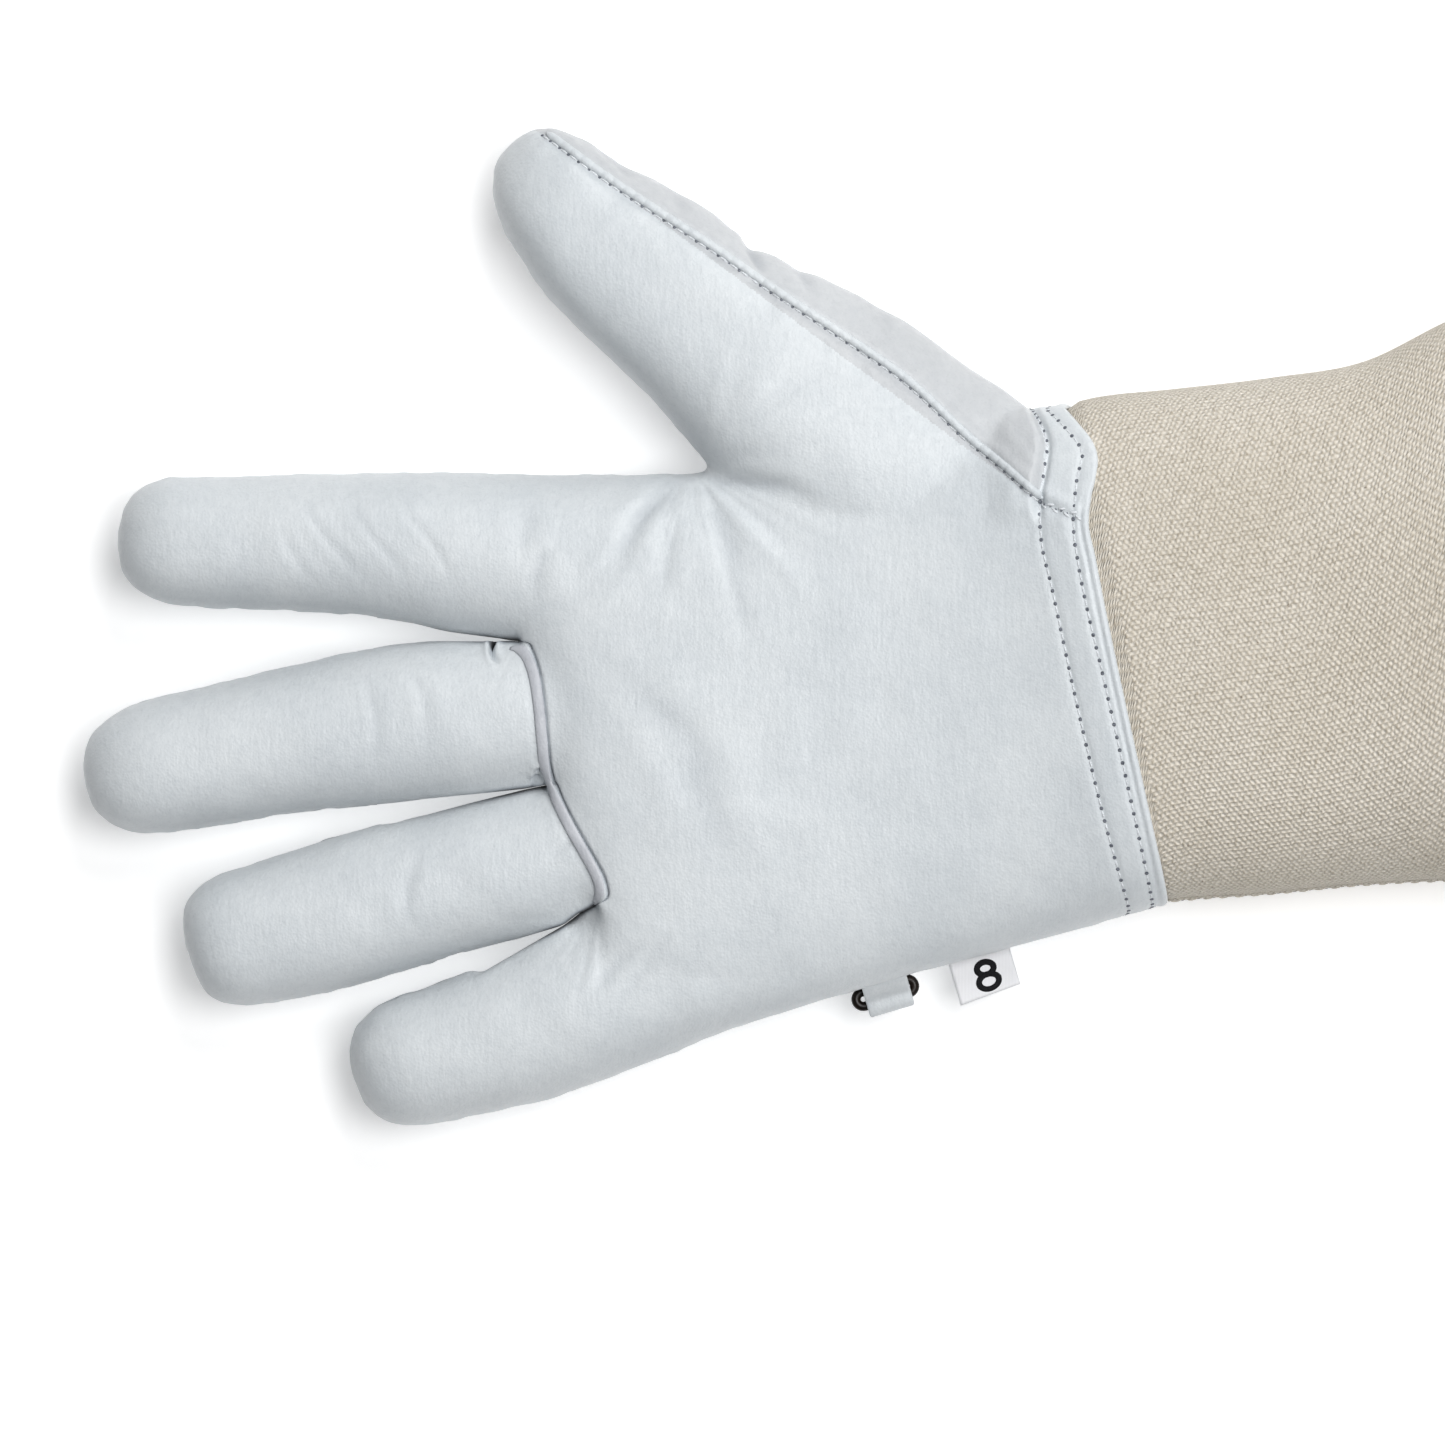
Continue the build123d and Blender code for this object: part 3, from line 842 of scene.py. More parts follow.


# The last colour of each goatskin is the painted shade in its creases.
GOATSKIN = leather_material("goatskin", (0.652, 0.685, 0.705), (0.602, 0.638, 0.662), (0.62, 0.64, 0.67))
GOATSKIN_BACK = leather_material("goatskin_back", (0.555, 0.572, 0.588), (0.510, 0.527, 0.544), (0.62, 0.64, 0.67))
GOATSKIN_EDGE = leather_material("goatskin_edge", (0.56, 0.575, 0.61), (0.42, 0.435, 0.47), (0.62, 0.64, 0.67))
CANVAS = canvas_material("cotton_duck", (0.76, 0.715, 0.64), (0.66, 0.615, 0.535))
THREAD = thread_material("white_thread", (0.72, 0.75, 0.78), 3.0)
CANVAS_THREAD = thread_material("natural_thread", (0.70, 0.66, 0.58), 3.0)
# Needle holes are small dark discs of painted shade.
NEEDLE_HOLE_SHADE = needle_hole_shade_material()
ELASTIC = thread_material("elastic_band", (0.74, 0.72, 0.67), 1.2)
RING_PLASTIC = ring_material()
SATIN = satin_material()
INK = ink_material()

# ------------------------------------------------------------------ pieces


def finish_piece(obj, material, node_names, body):
    """Gives a piece its material, its place at rest for patterns and its body, and hides the CAD nodes it replaces."""
    mesh = obj.data
    if not mesh.materials:
        mesh.materials.append(material)
    if "rest" not in mesh.attributes:
        rest = mesh.attributes.new("rest", "FLOAT_VECTOR", "POINT")
        rest.data.foreach_set("vector", mesh_points(mesh).astype(np.float32).ravel())
    for polygon in mesh.polygons:
        polygon.use_smooth = True
    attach(obj, body)
    if node_names:
        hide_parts(*node_names)
    return obj


def bend_with(obj):
    """Bakes a piece's placement into its mesh."""
    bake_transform(obj)


def bend_with_digit(obj):
    obj.parent = None
    bend_with(obj)


def face_arrays(mesh):
    """Corner lists of a mesh of three- and four-sided faces."""
    return [tuple(polygon.vertices) for polygon in mesh.polygons]


def piece_of_leather(form, chosen, name):
    """Copies chosen faces of the form to a piece of its own, keeping the whole form's shading."""
    lists, points, normals, crease_shade = form["faces"], form["points"], form["normals"], form["crease_shade"]
    picked = np.nonzero(chosen)[0]
    used = np.unique(np.concatenate([lists[i] for i in picked]))
    new_index = np.full(len(points), -1)
    new_index[used] = np.arange(len(used))
    obj = new_object(name, points[used], [tuple(new_index[list(lists[i])]) for i in picked])
    # Painted shade of the creases and tight gaps, per point.
    attribute = obj.data.attributes.new("crease_shade", "FLOAT", "POINT")
    attribute.data.foreach_set("value", crease_shade[used].astype(np.float32))
    for polygon in obj.data.polygons:
        polygon.use_smooth = True
    obj.data.normals_split_custom_set_from_vertices(normals[used].tolist())
    return obj


def base_line_side(points, name):
    """Distance in plan beyond a digit's base line, which runs through the crotches beside it."""
    crotch = {key: np.array([*place, 0.0]) for key, place in CROTCHES.items()}
    _, heading, _ = digit_axes(name)
    if name in ("middle", "ring"):
        first = crotch["index"] if name == "middle" else crotch["middle"]
        second = crotch[name]
        run = second - first
        normal = np.array([run[1], -run[0], 0.0]) / np.linalg.norm(run)
        return (points - first) @ normal
    start = crotch["thumb" if name == "thumb" else "index" if name == "index" else "ring"]
    return (points - start) @ heading


def split_leather(form):
    """Names the piece that each face of the form belongs to."""
    centres = form["centres"]
    u, v, z = to_hand(centres)
    palm_side = z > SEAM_HEIGHT
    piece = np.where(palm_side, "palm", "back").astype(object)
    nearest = np.full(len(centres), 1e6)
    owner = np.full(len(centres), "", dtype=object)
    for name, spec in DIGITS.items():
        s, n = in_digit_axes(centres, name)
        reach = smooth_values(spec["stations"], s)
        middle = (reach[:, 1] - reach[:, 0]) / 2
        across = np.abs(n - middle) / ((reach[:, 0] + reach[:, 1]) / 2)
        inside = (across < 1.35) & (s > -20) & (across < nearest) & (s < spec["tip"][1] + 5)
        nearest = np.where(inside, across, nearest)
        owner[inside] = name
    for name in DIGITS:
        mine = (owner == name) & (base_line_side(centres, name) > 0)
        piece[mine & palm_side] = name + "_front"
        piece[mine & ~palm_side] = name + "_back"
    outer = seam_side(centres) > 0
    piece[(piece == "thumb_front") & outer] = "thumb_back"
    crotch, wrist = np.array(CROTCHES["thumb"]), np.array(THUMB_SEAM[2], float)
    run = (wrist - crotch) / np.linalg.norm(wrist - crotch)
    behind = (centres[:, :2] - crotch) @ np.array([-run[1], run[0]]) > 0
    piece[(piece == "palm") & outer & behind] = "thumb_heel"
    piece[(piece == "back") & behind & (centres[:, 0] > CROTCHES["thumb"][0] - 12)] = "thumb_heel"
    piece[u > hem_line("upper", v, z) - 0.4] = "hem"
    return piece


def make_leather():
    obj = make_hand_form()
    crease_shade = detail_leather(obj)
    mesh = obj.data
    points = mesh_points(mesh)
    lists = face_arrays(mesh)
    centres = np.array([points[list(face)].mean(axis=0) for face in lists])
    form = {"points": points, "faces": lists, "normals": mesh_normals(mesh), "crease_shade": crease_shade, "centres": centres}
    piece = split_leather(form)
    bpy.data.objects.remove(obj)

    nodes = {
        "palm": ("palm_leather", ["palm_panel"]),
        "back": ("back_leather", ["back_panel"]),
        "thumb_heel": ("thumb_heel_leather", ["thumb_heel_back"]),
        "hem": ("hem_leather", ["wrist_hem"]),
    }
    for key, (name, node_names) in nodes.items():
        material = GOATSKIN_BACK if key == "thumb_heel" else GOATSKIN
        finish_piece(piece_of_leather(form, piece == key, name), material, node_names, "hand")
    for digit in DIGITS:
        stem = "thumb" if digit == "thumb" else digit + "_finger"
        for side in ("front", "back"):
            made = piece_of_leather(form, piece == f"{digit}_{side}", f"{stem}_{side}_leather")
            material = GOATSKIN_BACK if stem + side == "thumbback" else GOATSKIN
            finish_piece(made, material, [f"{stem}_{side}"], stem)
            bend_with_digit(made)
    return form


def surface_tree(form):
    return BVHTree.FromPolygons(form["points"].tolist(), form["faces"])


def drop_on(tree, plan):
    """Points and normals of the surface below a line in plan."""
    found, normals = [], []
    for x, y in plan:
        place, normal, _, _ = tree.ray_cast(Vector((x, y, 200)), Vector((0, 0, -1)))
        if place is not None:
            found.append(place[:])
            normals.append(normal[:])
    return np.array(found), np.array(normals)


def even_walk(points, normals, pitch, closed=False):
    """Points at even steps along a line, with the surface normal and the direction of travel."""
    if closed:
        points, normals = np.vstack([points, points[:1]]), np.vstack([normals, normals[:1]])
    run = np.concatenate([[0], np.cumsum(np.linalg.norm(np.diff(points, axis=0), axis=1))])
    at = np.arange(pitch / 2, run[-1], pitch)
    place = np.column_stack([np.interp(at, run, points[:, k]) for k in range(3)])
    normal = np.column_stack([np.interp(at, run, normals[:, k]) for k in range(3)])
    ahead = np.column_stack([np.interp(at + 0.3, run, points[:, k]) for k in range(3)])
    travel = ahead - place
    travel[np.linalg.norm(travel, axis=1) < 1e-6] = [1, 0, 0]
    normal /= np.linalg.norm(normal, axis=1)[:, None]
    travel /= np.linalg.norm(travel, axis=1)[:, None]
    return place, normal, travel


def capsule_rings(length, width, height, count=8):
    """Rings of a stitch: a short rounded rod, in its own axes."""
    angles = ring_of_angles(count)
    rings = []
    for share in (-1, -0.86, -0.5, 0, 0.5, 0.86, 1):
        size = max(0.06, (1 - share * share) ** 0.4)
        across, upward = np.cos(angles) * width / 2 * size, np.sin(angles) * height / 2 * size
        rings.append((share * length / 2, across, upward))
    return rings


def make_stitches(name, place, normal, travel, thread, node_names, body, length=1.6, width=0.36, lift=0.05, hole_radius=0.42):
    """A row of stitches: a short thread between needle holes, on the surface. Each hole is a small dark disc of painted
    shade.
    """
    points, faces, hole_faces = [], [], []
    total = 0
    rings = capsule_rings(length, width, 0.34)
    for p, up, go in zip(place, normal, travel):
        side = np.cross(up, go)
        side /= np.linalg.norm(side)
        go = np.cross(side, up)
        stack = []
        for forward, across, upward in rings:
            arch = -0.16 * (2 * forward / length) ** 2
            stack.append(p + forward * go + across[:, None] * side + (upward + lift + arch)[:, None] * up)
        more, more_faces = closed_tube(stack)
        points.append(more)
        faces += [tuple(i + total for i in face) for face in more_faces]
        total += len(more)
        # The needle hole: a dark disc just over the surface, painted shade rather than a hollow.
        hole = p + go * STITCH_PITCH / 2
        angles = ring_of_angles(8)
        stack = []
        for size, depth in ((1.0, 0.03), (0.75, 0.10), (0.3, 0.12)):
            radius = size * hole_radius
            stack.append(hole + radius * (np.cos(angles)[:, None] * go + np.sin(angles)[:, None] * side) + depth * up)
        more, more_faces = closed_tube(stack)
        points.append(more)
        hole_faces.append((len(faces), len(faces) + len(more_faces)))
        faces += [tuple(i + total for i in face) for face in more_faces]
        total += len(more)
    obj = new_object(name, np.vstack(points), faces)
    obj.data.materials.append(thread)
    obj.data.materials.append(NEEDLE_HOLE_SHADE)
    index = np.zeros(len(obj.data.polygons), dtype=np.int32)
    for start, stop in hole_faces:
        index[start:stop] = 1
    obj.data.polygons.foreach_set("material_index", index)
    return finish_piece(obj, thread, node_names, body)


def tube_along(points, normals, radius, squash=1.0, count=10, closed=False, taper=0):
    """A tube along points on a surface. Its height is squash times its width, and taper points at each end narrow."""
    total = len(points)
    stack = []
    for i in range(total):
        before = points[(i - 1) % total] if closed else points[max(i - 1, 0)]
        after = points[(i + 1) % total] if closed else points[min(i + 1, total - 1)]
        go = (after - before) / np.linalg.norm(after - before)
        side = np.cross(normals[i], go)
        side /= np.linalg.norm(side)
        up = np.cross(go, side)
        size = radius
        if taper:
            size *= max(0.15, min(1.0, (min(i, total - 1 - i) + 0.5) / taper)) ** 0.5
        angles = ring_of_angles(count)
        stack.append(points[i] + size * (np.cos(angles)[:, None] * side + squash * np.sin(angles)[:, None] * up))
    if not closed:
        return closed_tube(stack)
    rings = np.vstack(stack)
    faces = []
    for r in range(total):
        q = (r + 1) % total
        for i in range(count):
            j = (i + 1) % count
            faces.append((r * count + i, q * count + i, q * count + j, r * count + j))
    return rings, faces


def smooth_rows(rows, times, closed=False):
    """Evens out a list of vectors along a line."""
    rows = rows.copy()
    for _ in range(times):
        if closed:
            rows = (np.roll(rows, 1, axis=0) + 2 * rows + np.roll(rows, -1, axis=0)) / 4
        else:
            rows[1:-1] = (rows[:-2] + 2 * rows[1:-1] + rows[2:]) / 4
    return rows


def make_finger_welt(tree):
    """The cut strip of leather in the seam under the middle and ring fingers."""
    points, normals = drop_on(tree, smooth_path(WELT_ROUTE, 110))
    points, normals = smooth_rows(points, 10), smooth_rows(normals, 14)
    wobble = np.array([noise.noise(Vector((i * 0.19, 3.3, 0))) for i in range(len(points))])
    lift = 0.12 + 0.10 * wobble
    mesh, faces = tube_along(points + lift[:, None] * normals, normals, WELT_WIDTH / 2, 0.36, count=14, taper=5)
    finish_piece(new_object("finger_welt_leather", mesh, faces), GOATSKIN_EDGE, ["finger_base_welt"], "hand")


def make_thumb_seam(tree):
    """The rolled leather beside the thumb seam, drawn in at each stitch, and the stitches."""
    plan = smooth_path(THUMB_SEAM[2:], 520)
    points, normals = drop_on(tree, offset_route(plan, 0.85))
    points, normals = smooth_rows(points, 12), smooth_rows(normals, 40)
    run = np.concatenate([[0], np.cumsum(np.linalg.norm(np.diff(points, axis=0), axis=1))])
    scallop = 0.20 * np.abs(np.sin(pi * run / STITCH_PITCH))
    mesh, faces = tube_along(points + (scallop - 0.05)[:, None] * normals, normals, RIDGE_RADIUS, 0.8, taper=6)
    ridge = new_object("thumb_seam_welt_leather", mesh, faces)
    finish_piece(ridge, GOATSKIN, ["thumb_seam_welt", "thumb_tip_welt"], "hand")
    bend_with_digit(ridge)
    points, normals = drop_on(tree, offset_route(plan, -0.12))
    walk = even_walk(points, smooth_rows(normals, 20), STITCH_PITCH)
    stitches = make_stitches("thumb_seam_stitches", *walk, THREAD, ["thumb_seam_thread", "thumb_tip_thread"], "hand",
                             length=1.9, width=0.5, lift=0.12, hole_radius=0.33)
    bend_with_digit(stitches)

    # Over the hem the seam is oversewn with close stitches, each beside the last.
    across_hem = smooth_path(THUMB_SEAM[:4], 60)
    across_hem = across_hem[across_hem[:, 0] > THUMB_SEAM[2][0]]
    points, normals = drop_on(tree, across_hem)
    place, normal, travel = even_walk(points, smooth_rows(normals, 10), 1.3)
    aside = np.cross(normal, travel) * (0.4 * (-1.0) ** np.arange(len(place)))[:, None]
    make_stitches("thumb_seam_stitches_on_hem", place + aside, normal, travel - aside, THREAD, [], "hand",
                  length=1.7, width=0.55, lift=0.16, hole_radius=0.25)


def ring_round_hem(tree, name, count=480, centre=(-1.5, 22.0)):
    """Points and normals round the outside of the hem along one of its lines."""
    found, normals = [], []
    for angle in ring_of_angles(count):
        outward = cos(angle) * ACROSS + sin(angle) * UP
        u = HEM_LINES[name][1]
        for _ in range(3):
            place, normal, _, _ = tree.ray_cast(Vector(from_hand(u, *centre) + 150 * outward), Vector(-outward))
            v, z = np.array(place) @ ACROSS, place[2]
            u = hem_line(name, [v], [z])[0]
        found.append(place[:])
        normals.append(normal[:])
    return np.array(found), np.array(normals)


def make_hem_stitches(tree):
    for name in ("upper", "lower"):
        points, normals = ring_round_hem(tree, name)
        walk = even_walk(smooth_rows(points, 3, True), smooth_rows(normals, 6, True), STITCH_PITCH, closed=True)
        make_stitches(f"hem_stitches_{name}", *walk, THREAD, [f"hem_stitch_row_{name}"], "hand")


# ------------------------------------------------------------------ canvas sleeve

# Sections of the sleeve: u, lowest v, highest v, height
SLEEVE = [
    (52.0, -51.0, 48.4, 47.0),
    (62.0, -51.2, 49.8, 47.2),
    (80.0, -53.0, 48.9, 48.4),
    (100.0, -54.7, 47.8, 50.0),
    (118.0, -57.0, 47.6, 53.0),
    (136.0, -59.5, 52.6, 56.0),
    (200.0, -66.0, 61.0, 63.0),
    (265.0, -70.0, 66.0, 66.0),
    (333.0, -66.0, 61.0, 60.0),
]
CANVAS_THICKNESS = 0.9
SLEEVE_START = 54.0
SLEEVE_BEND_END = 145.0
GATHERS_START = 285.0
ELBOW_HEM_START = 321.0
ELBOW_END = 333.0
ELBOW_STITCH_U = 330.6
ELASTIC_WIDTH = 8.0
SIDE_SEAM = (14.0, 24.0)


def sleeve_ring(u, inset, count):
    """Points round the sleeve from its side seam, and how far each is round it."""
    low, high, top = smooth_values(SLEEVE, [u])[0]
    angles = ring_of_angles(count) + pi * 1.12
    across, upward = superellipse(angles, 2.7)
    gather = ease(u, GATHERS_START, ELBOW_HEM_START)
    folds = np.array([noise.noise(Vector((3.1 * cos(a), 3.1 * sin(a), 7.7))) for a in angles])
    ripple = np.array([noise.noise(Vector((9 * cos(a), 9 * sin(a), 0.02 * u))) for a in angles])
    drape = np.array([noise.noise(Vector((1.6 * cos(a), 1.6 * sin(a), u / 70))) for a in angles])
    inset = inset - 1.6 * gather * ripple - 0.8 * gather * folds - 0.7 * ease(u, 66, 100) * drape
    v = (high + low) / 2 + ((high - low) / 2 - inset) * across
    z = top / 2 + (top / 2 + 0.5 - inset) * upward
    points = from_hand(u, v, np.maximum(z, FLOOR_GAP + 0.1))
    steps = np.linalg.norm(points - np.roll(points, 1, axis=0), axis=1)
    steps[0] = 0
    return points, np.cumsum(steps)


def shell(stations, count, ring_of):
    """A closed wall through rings that run out on its outer face and back on its inner face.
    Each station holds u, inset. Also returns each point's place on the flat cloth."""
    rings, cloth = [], []
    for u, inset in stations:
        points, run = ring_of(u, inset, count)
        rings.append(points)
        cloth.append(np.column_stack([np.full(count, u), run, np.full(count, inset)]))
    total = len(rings)
    faces = []
    for r in range(total):
        q = (r + 1) % total
        for i in range(count):
            j = (i + 1) % count
            faces.append((r * count + i, q * count + i, q * count + j, r * count + j))
    return np.vstack(rings), faces, np.vstack(cloth)


def add_cloth(obj, cloth):
    attribute = obj.data.attributes.new("cloth", "FLOAT_VECTOR", "POINT")
    attribute.data.foreach_set("vector", cloth.astype(np.float32).ravel())


def canvas_piece(name, stations, node_names, count=300):
    points, faces, cloth = shell(stations, count, sleeve_ring)
    obj = new_object(name, points, faces)
    add_cloth(obj, cloth)
    finish_piece(obj, CANVAS, node_names, "sleeve")
    return obj


def bend_sleeve(obj):
    obj.parent = None
    tuple(from_hand(HEM_EDGE, 0, 0) * MM)
    tuple(from_hand(SLEEVE_BEND_END, 0, 0) * MM)
    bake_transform(obj)


def make_sleeve():
    """The canvas tube, which comes out from under the wrist hem."""
    along = np.linspace(SLEEVE_START, ELBOW_HEM_START + 1, 150)
    out = [(u, 1.5 * (1 - ease(u, 57, 61.5))) for u in along]
    back = [(u, inset + CANVAS_THICKNESS) for u, inset in out[::-1]]
    sleeve = canvas_piece("sleeve_canvas", out + back, ["gauntlet", "canvas_seam_allowance"])
    bend_sleeve(sleeve)


def make_elbow_hem():
    """The turned hem at the elbow, gathered over its elastic."""
    thickness = 2.6
    turn = [(ELBOW_END - 1.3 + 1.3 * cos(a), thickness / 2 - thickness / 2 * sin(a)) for a in np.linspace(pi / 2, -pi / 2, 9)]
    out = [(u, -0.15 - 0.35 * sin(pi * min(1, (u - ELBOW_HEM_START) / 9))) for u in np.linspace(ELBOW_HEM_START, 331, 10)]
    back = [(u, thickness) for u in np.linspace(331, ELBOW_HEM_START, 8)]
    canvas_piece("elbow_hem_canvas", out + turn + back, ["elbow_hem"])
    band = [(u, 0.95) for u in np.linspace(322, 322 + ELASTIC_WIDTH - 1, 7)]
    inner = [(u, 1.85) for u, _ in band[::-1]]
    points, faces, cloth = shell(band + inner, 300, sleeve_ring)
    elastic = new_object("elbow_elastic_band", points, faces)
    add_cloth(elastic, cloth)
    finish_piece(elastic, ELASTIC, ["elbow_elastic"], "sleeve")


def sleeve_row(stations, heights, lift):
    """Points, normals along the sleeve on its little finger side, at one height over the rest surface."""
    points, normals = [], []
    for u, height in zip(stations, heights):
        ring, _ = sleeve_ring(u, -lift, 300)
        v = ring @ ACROSS
        side = np.nonzero(v < v.mean())[0]
        nearest = side[np.argmin(np.abs(ring[side, 2] - height))]
        share = ring[(nearest + 1) % 300] - ring[nearest - 1]
        normal = np.cross(share, ALONG)
        normal /= np.linalg.norm(normal)
        if normal @ ACROSS > 0:
            normal = -normal
        offset = height - ring[nearest, 2]
        points.append(ring[nearest] + share / share[2] * offset)
        normals.append(normal)
    return np.array(points), np.array(normals)


def make_side_seam():
    """The felled side seam of the sleeve: a raised strip with two rows of stitches."""
    stations = np.linspace(HEM_EDGE + 1.5, ELBOW_HEM_START, 150)
    low, high = SIDE_SEAM
    heights = np.linspace(low, high, 9)
    profile = [0.02, 0.55, 0.6, 0.62, 0.6, 0.62, 0.6, 0.55, 0.02]
    rows = [sleeve_row(stations, np.full(150, h), lift)[0] for h, lift in zip(heights, profile)]
    rows += [sleeve_row(stations, np.full(150, h), -0.3)[0] for h in heights[::-1]]
    rings = [np.array([row[k] for row in rows]) for k in range(150)]
    points, faces = closed_tube(rings)
    strip = new_object("sleeve_side_seam_canvas", points, faces)
    cloth = np.zeros((len(points), 3))
    cloth[:, 0] = points @ ALONG
    cloth[:, 1] = points[:, 2] + 0.4
    add_cloth(strip, cloth)
    finish_piece(strip, CANVAS, ["sleeve_side_seam"], "sleeve")
    bend_sleeve(strip)
    for side, height in (("lower", low + 1.6), ("upper", high - 1.6)):
        points, normals = sleeve_row(stations, np.full(150, height), 0.62)
        walk = even_walk(smooth_rows(points, 4), smooth_rows(normals, 8), 3.2)
        row = make_stitches(f"sleeve_seam_stitches_{side}", *walk, CANVAS_THREAD, [], "sleeve", length=2.2)
        bend_sleeve(row)


def make_elbow_stitches():
    ring, _ = sleeve_ring(ELBOW_STITCH_U - 0.6, -0.3, 300)
    outward = np.cross(ALONG, np.roll(ring, -1, axis=0) - np.roll(ring, 1, axis=0))
    outward *= np.sign(np.sum(outward * (ring - ring.mean(axis=0)), axis=1))[:, None]
    outward /= np.linalg.norm(outward, axis=1)[:, None]
    walk = even_walk(ring, outward, 3.2, closed=True)
    make_stitches("elbow_hem_stitches", *walk, CANVAS_THREAD, ["elbow_hem_stitching"], "sleeve", length=2.2)


# ------------------------------------------------------------------ hanging loop, ring and label


# The side seam runs at an angle to the hand's axes there. Its direction, and the direction to the thumb side, in plan
SIDE_SEAM_TURN = radians(16.5)
SEAM_ALONG = np.array([cos(SIDE_SEAM_TURN), sin(SIDE_SEAM_TURN), 0.0])
SEAM_ACROSS = np.array([-sin(SIDE_SEAM_TURN), cos(SIDE_SEAM_TURN), 0.0])
LOOP_MIDDLE = (13.6, -59.0)
LOOP_WIDTH = 9.3
RING_MIDDLE = (13.1, -58.6)
RING_LENGTH = 14.0
RING_WIDTH = 4.8
RING_WIRE = 1.9
LABEL_MIDDLE = (32.95, -54.9)
LABEL_WIDTH = 12.7
LABEL_REACH = 8.6


def middle_height(node_name):
    low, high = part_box(node_name)
    return (low[2] + high[2]) / 2 / MM


def beside_seam(middle, along, across, height):
    return np.array([*middle, 0.0]) + along * SEAM_ALONG + across * SEAM_ACROSS + height * UP


def rounded_strip(stations, width, thickness):
    """A flat strip with rounded edges through stations, which each hold a place and the direction out of its face."""
    profile = [(-1, 0), (-0.97, 0.35), (-0.9, 0.5), (-0.5, 0.5), (0, 0.5), (0.5, 0.5), (0.9, 0.5), (0.97, 0.35), (1, 0),
               (0.97, -0.35), (0.9, -0.5), (0.5, -0.5), (0, -0.5), (-0.5, -0.5), (-0.9, -0.5), (-0.97, -0.35)]
    stack = []
    for place, up in stations:
        stack.append(np.array([place + a * width / 2 * SEAM_ALONG + b * thickness * up for a, b in profile]))
    return closed_tube(stack)


def make_loop(tree):
    """A short strap folded over the ring. Its upper end lies on the glove's side, its lower end is in the side seam."""
    height = middle_height("hang_loop")
    top, _ = drop_on(tree, [beside_seam(LOOP_MIDDLE, shift, 3.4, 0)[:2] for shift in (-3, 0, 3)])
    rise = min(6.0, max(3.0, top[:, 2].max() - height + 0.6)) if len(top) else 3.0
    turn, wall = -1.7, 1.4
    path = [(across, wall + (rise - wall) * ease(across, -0.5, 3.4)) for across in np.linspace(3.5, turn + 0.4, 14)]
    path += [(turn - wall * sin(a), wall * cos(a)) for a in np.linspace(0.2, pi - 0.2, 11)]
    path += [(across, -wall + 0.1 * (across - turn)) for across in np.linspace(turn + 0.4, 4.4, 9)]
    path = smooth_rows(np.array(path, float), 2)
    ahead = np.gradient(path, axis=0)
    ahead /= np.linalg.norm(ahead, axis=1)[:, None]
    stations = []
    for (across, up), (ahead_across, ahead_up) in zip(path, ahead):
        out_of_face = ahead_up * SEAM_ACROSS - ahead_across * UP
        stations.append((beside_seam(LOOP_MIDDLE, 0, across, height + up), out_of_face))
    points, faces = rounded_strip(stations, LOOP_WIDTH, 0.85)
    obj = new_object("hang_loop_leather", points, faces)
    finish_piece(obj, GOATSKIN, ["hang_loop"], "loop")


def make_ring():
    """The oval ring that the loop holds."""
    straight, bend = (RING_LENGTH - RING_WIDTH) / 2, (RING_WIDTH - RING_WIRE) / 2
    route = [(straight + bend * sin(a), bend * cos(a)) for a in np.linspace(0, pi, 14)]
    route += [(-straight - bend * sin(a), -bend * cos(a)) for a in np.linspace(0, pi, 14)]
    height = middle_height("hang_ring")
    points = np.array([beside_seam(RING_MIDDLE, along, across, height) for along, across in route])
    points, faces = tube_along(points, np.repeat(UP[None, :], len(points), axis=0), RING_WIRE / 2, 0.85, 16, closed=True)
    finish_piece(new_object("hang_ring_plastic", points, faces), RING_PLASTIC, ["hang_ring"], "ring")


def make_label():
    """A folded satin tag, slightly curled, with the glove's size on it."""
    height = middle_height("size_label")
    rows, columns = 14, 20

    def place(along, across, lift):
        """The tag reaches out less at its elbow end, and its free edge curls up."""
        outward = LABEL_REACH / 2 - across * (1 - 0.015 * along)
        curl = 0.010 * outward ** 2 + 0.006 * along * outward
        return beside_seam(LABEL_MIDDLE, along, LABEL_REACH / 2 - outward, height + curl + lift)

    points, faces = [], []
    for lift in (0.22, -0.22):
        for across in np.linspace(-LABEL_REACH / 2, LABEL_REACH / 2 + 0.5, rows):
            for along in np.linspace(-LABEL_WIDTH / 2, LABEL_WIDTH / 2, columns):
                points.append(place(along, across, lift))
    layer = rows * columns
    for r in range(rows - 1):
        for c in range(columns - 1):
            a = r * columns + c
            faces.append((a, a + 1, a + columns + 1, a + columns))
            faces.append((layer + a, layer + a + columns, layer + a + columns + 1, layer + a + 1))
    rim = [c for c in range(columns)] + [r * columns + columns - 1 for r in range(1, rows)]
    rim += [(rows - 1) * columns + c for c in range(columns - 2, -1, -1)] + [r * columns for r in range(rows - 2, 0, -1)]
    for a, b in zip(rim, rim[1:] + rim[:1]):
        faces.append((b, a, layer + a, layer + b))
    tag = new_object("size_label_tape", points, faces)
    finish_piece(tag, SATIN, ["size_label"], "label")

    # The figure is two stacked loops.
    figure_points, figure_faces, total = [], [], 0
    for middle, half_width, half_height in ((-1.40, 2.05, 1.50), (1.35, 1.70, 1.30)):
        outline = [(half_width * cos(a), middle + half_height * sin(a)) for a in ring_of_angles(32)]
        loop = np.array([place(along + 0.5, across - 0.3, 0.22) for along, across in outline])
        more, more_faces = tube_along(loop, np.repeat(UP[None, :], len(loop), axis=0), 0.66, 0.15, count=8, closed=True)
        figure_points.append(more)
        figure_faces += [tuple(i + total for i in face) for face in more_faces]
        total += len(more)
    figure = new_object("size_label_figure", np.vstack(figure_points), figure_faces)
    finish_piece(figure, INK, [], "label")


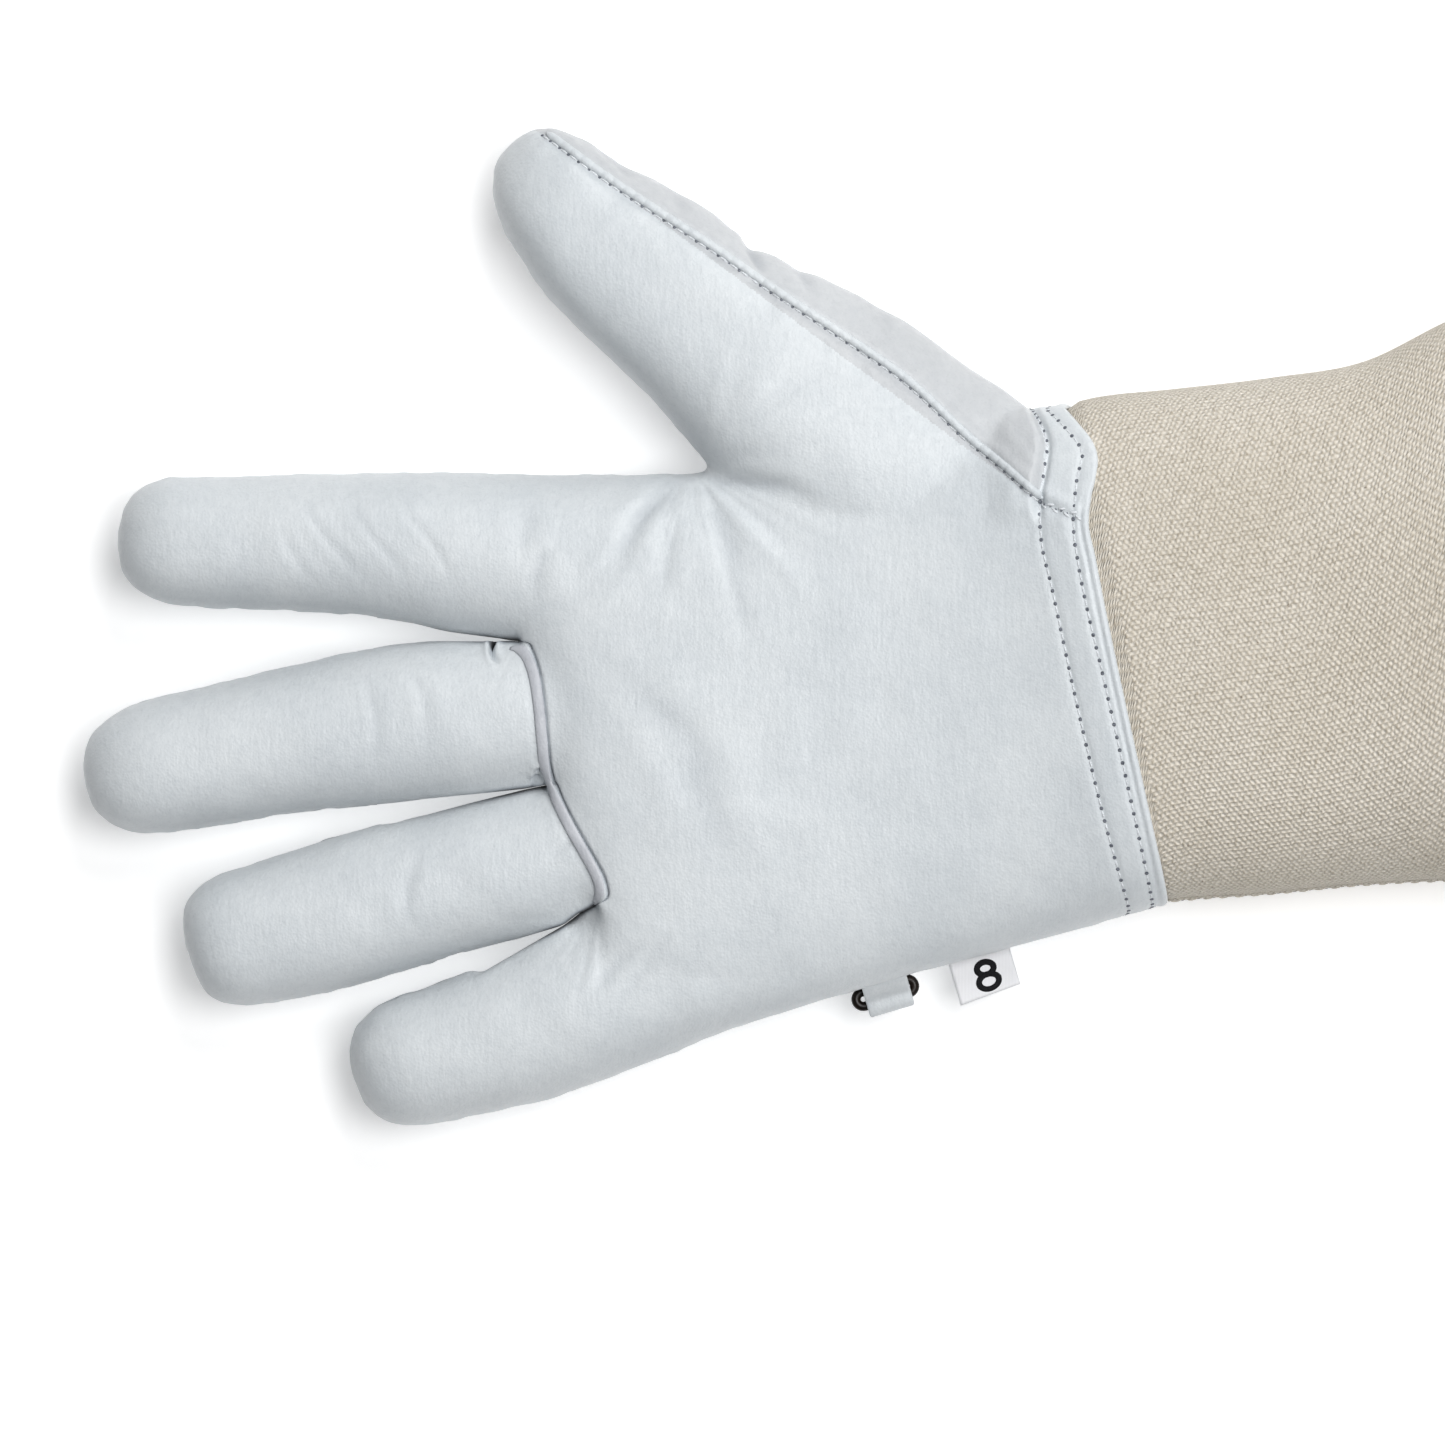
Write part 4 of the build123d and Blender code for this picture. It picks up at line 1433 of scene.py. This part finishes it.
LEATHER_FORM = make_leather()
SURFACE = surface_tree(LEATHER_FORM)
make_finger_welt(SURFACE)
make_thumb_seam(SURFACE)
make_hem_stitches(SURFACE)
make_sleeve()
make_elbow_hem()
make_side_seam()
make_elbow_stitches()
make_loop(SURFACE)
make_ring()
make_label()

# ------------------------------------------------------------------ stage, light and camera


def make_stage():
    size = 3000.0
    corners = [(-size, -size, -0.4), (size, -size, -0.4), (size, size, -0.4), (-size, size, -0.4)]
    floor = new_object("floor", corners, [(0, 1, 2, 3)])
    material, _, shader = new_material("light_table", (0.86, 0.86, 0.86), 0.9)
    shader.inputs["Emission Color"].default_value = (1, 1, 1, 1)
    shader.inputs["Emission Strength"].default_value = 0.35
    floor.data.materials.append(material)


def area_light(name, place, aim, size, power, colour=(1, 1, 1)):
    light = bpy.data.lights.new(name, "AREA")
    light.shape = "DISK"
    light.size = size
    light.energy = power
    light.color = colour
    obj = bpy.data.objects.new(name, light)
    obj.location = place
    obj.rotation_euler = (Vector(aim) - Vector(place)).to_track_quat("-Z", "Y").to_euler()
    bpy.context.scene.collection.objects.link(obj)


def make_lights():
    aim = (0, 0, 0.02)
    area_light("key", (0.35, 0.80, 1.00), aim, 0.8, 9.6)
    area_light("top", (0.34, 0.04, 1.45), aim, 0.7, 14)
    area_light("fill", (0.9, -1.1, 1.2), aim, 1.2, 3.2)
    world = bpy.data.worlds.new("studio")
    world.use_nodes = True
    world.node_tree.nodes["Background"].inputs["Color"].default_value = (0.95, 0.97, 1.0, 1)
    world.node_tree.nodes["Background"].inputs["Strength"].default_value = 0.08
    bpy.context.scene.world = world


def make_camera():
    """Straight above the palm, far away, so that the hand fills the frame and the sleeve leaves it on the right."""
    view_width, view_x, view_y, distance = 0.289, -0.0195, -0.0045, 2.6
    data = bpy.data.cameras.new("camera")
    data.lens = data.sensor_width * distance / view_width
    data.clip_end = 20
    camera = bpy.data.objects.new("camera", data)
    camera.location = (view_x, view_y, distance + 0.018)
    bpy.context.scene.collection.objects.link(camera)
    bpy.context.scene.camera = camera


make_stage()
make_lights()
make_camera()
bpy.context.scene.view_settings.view_transform = "Standard"
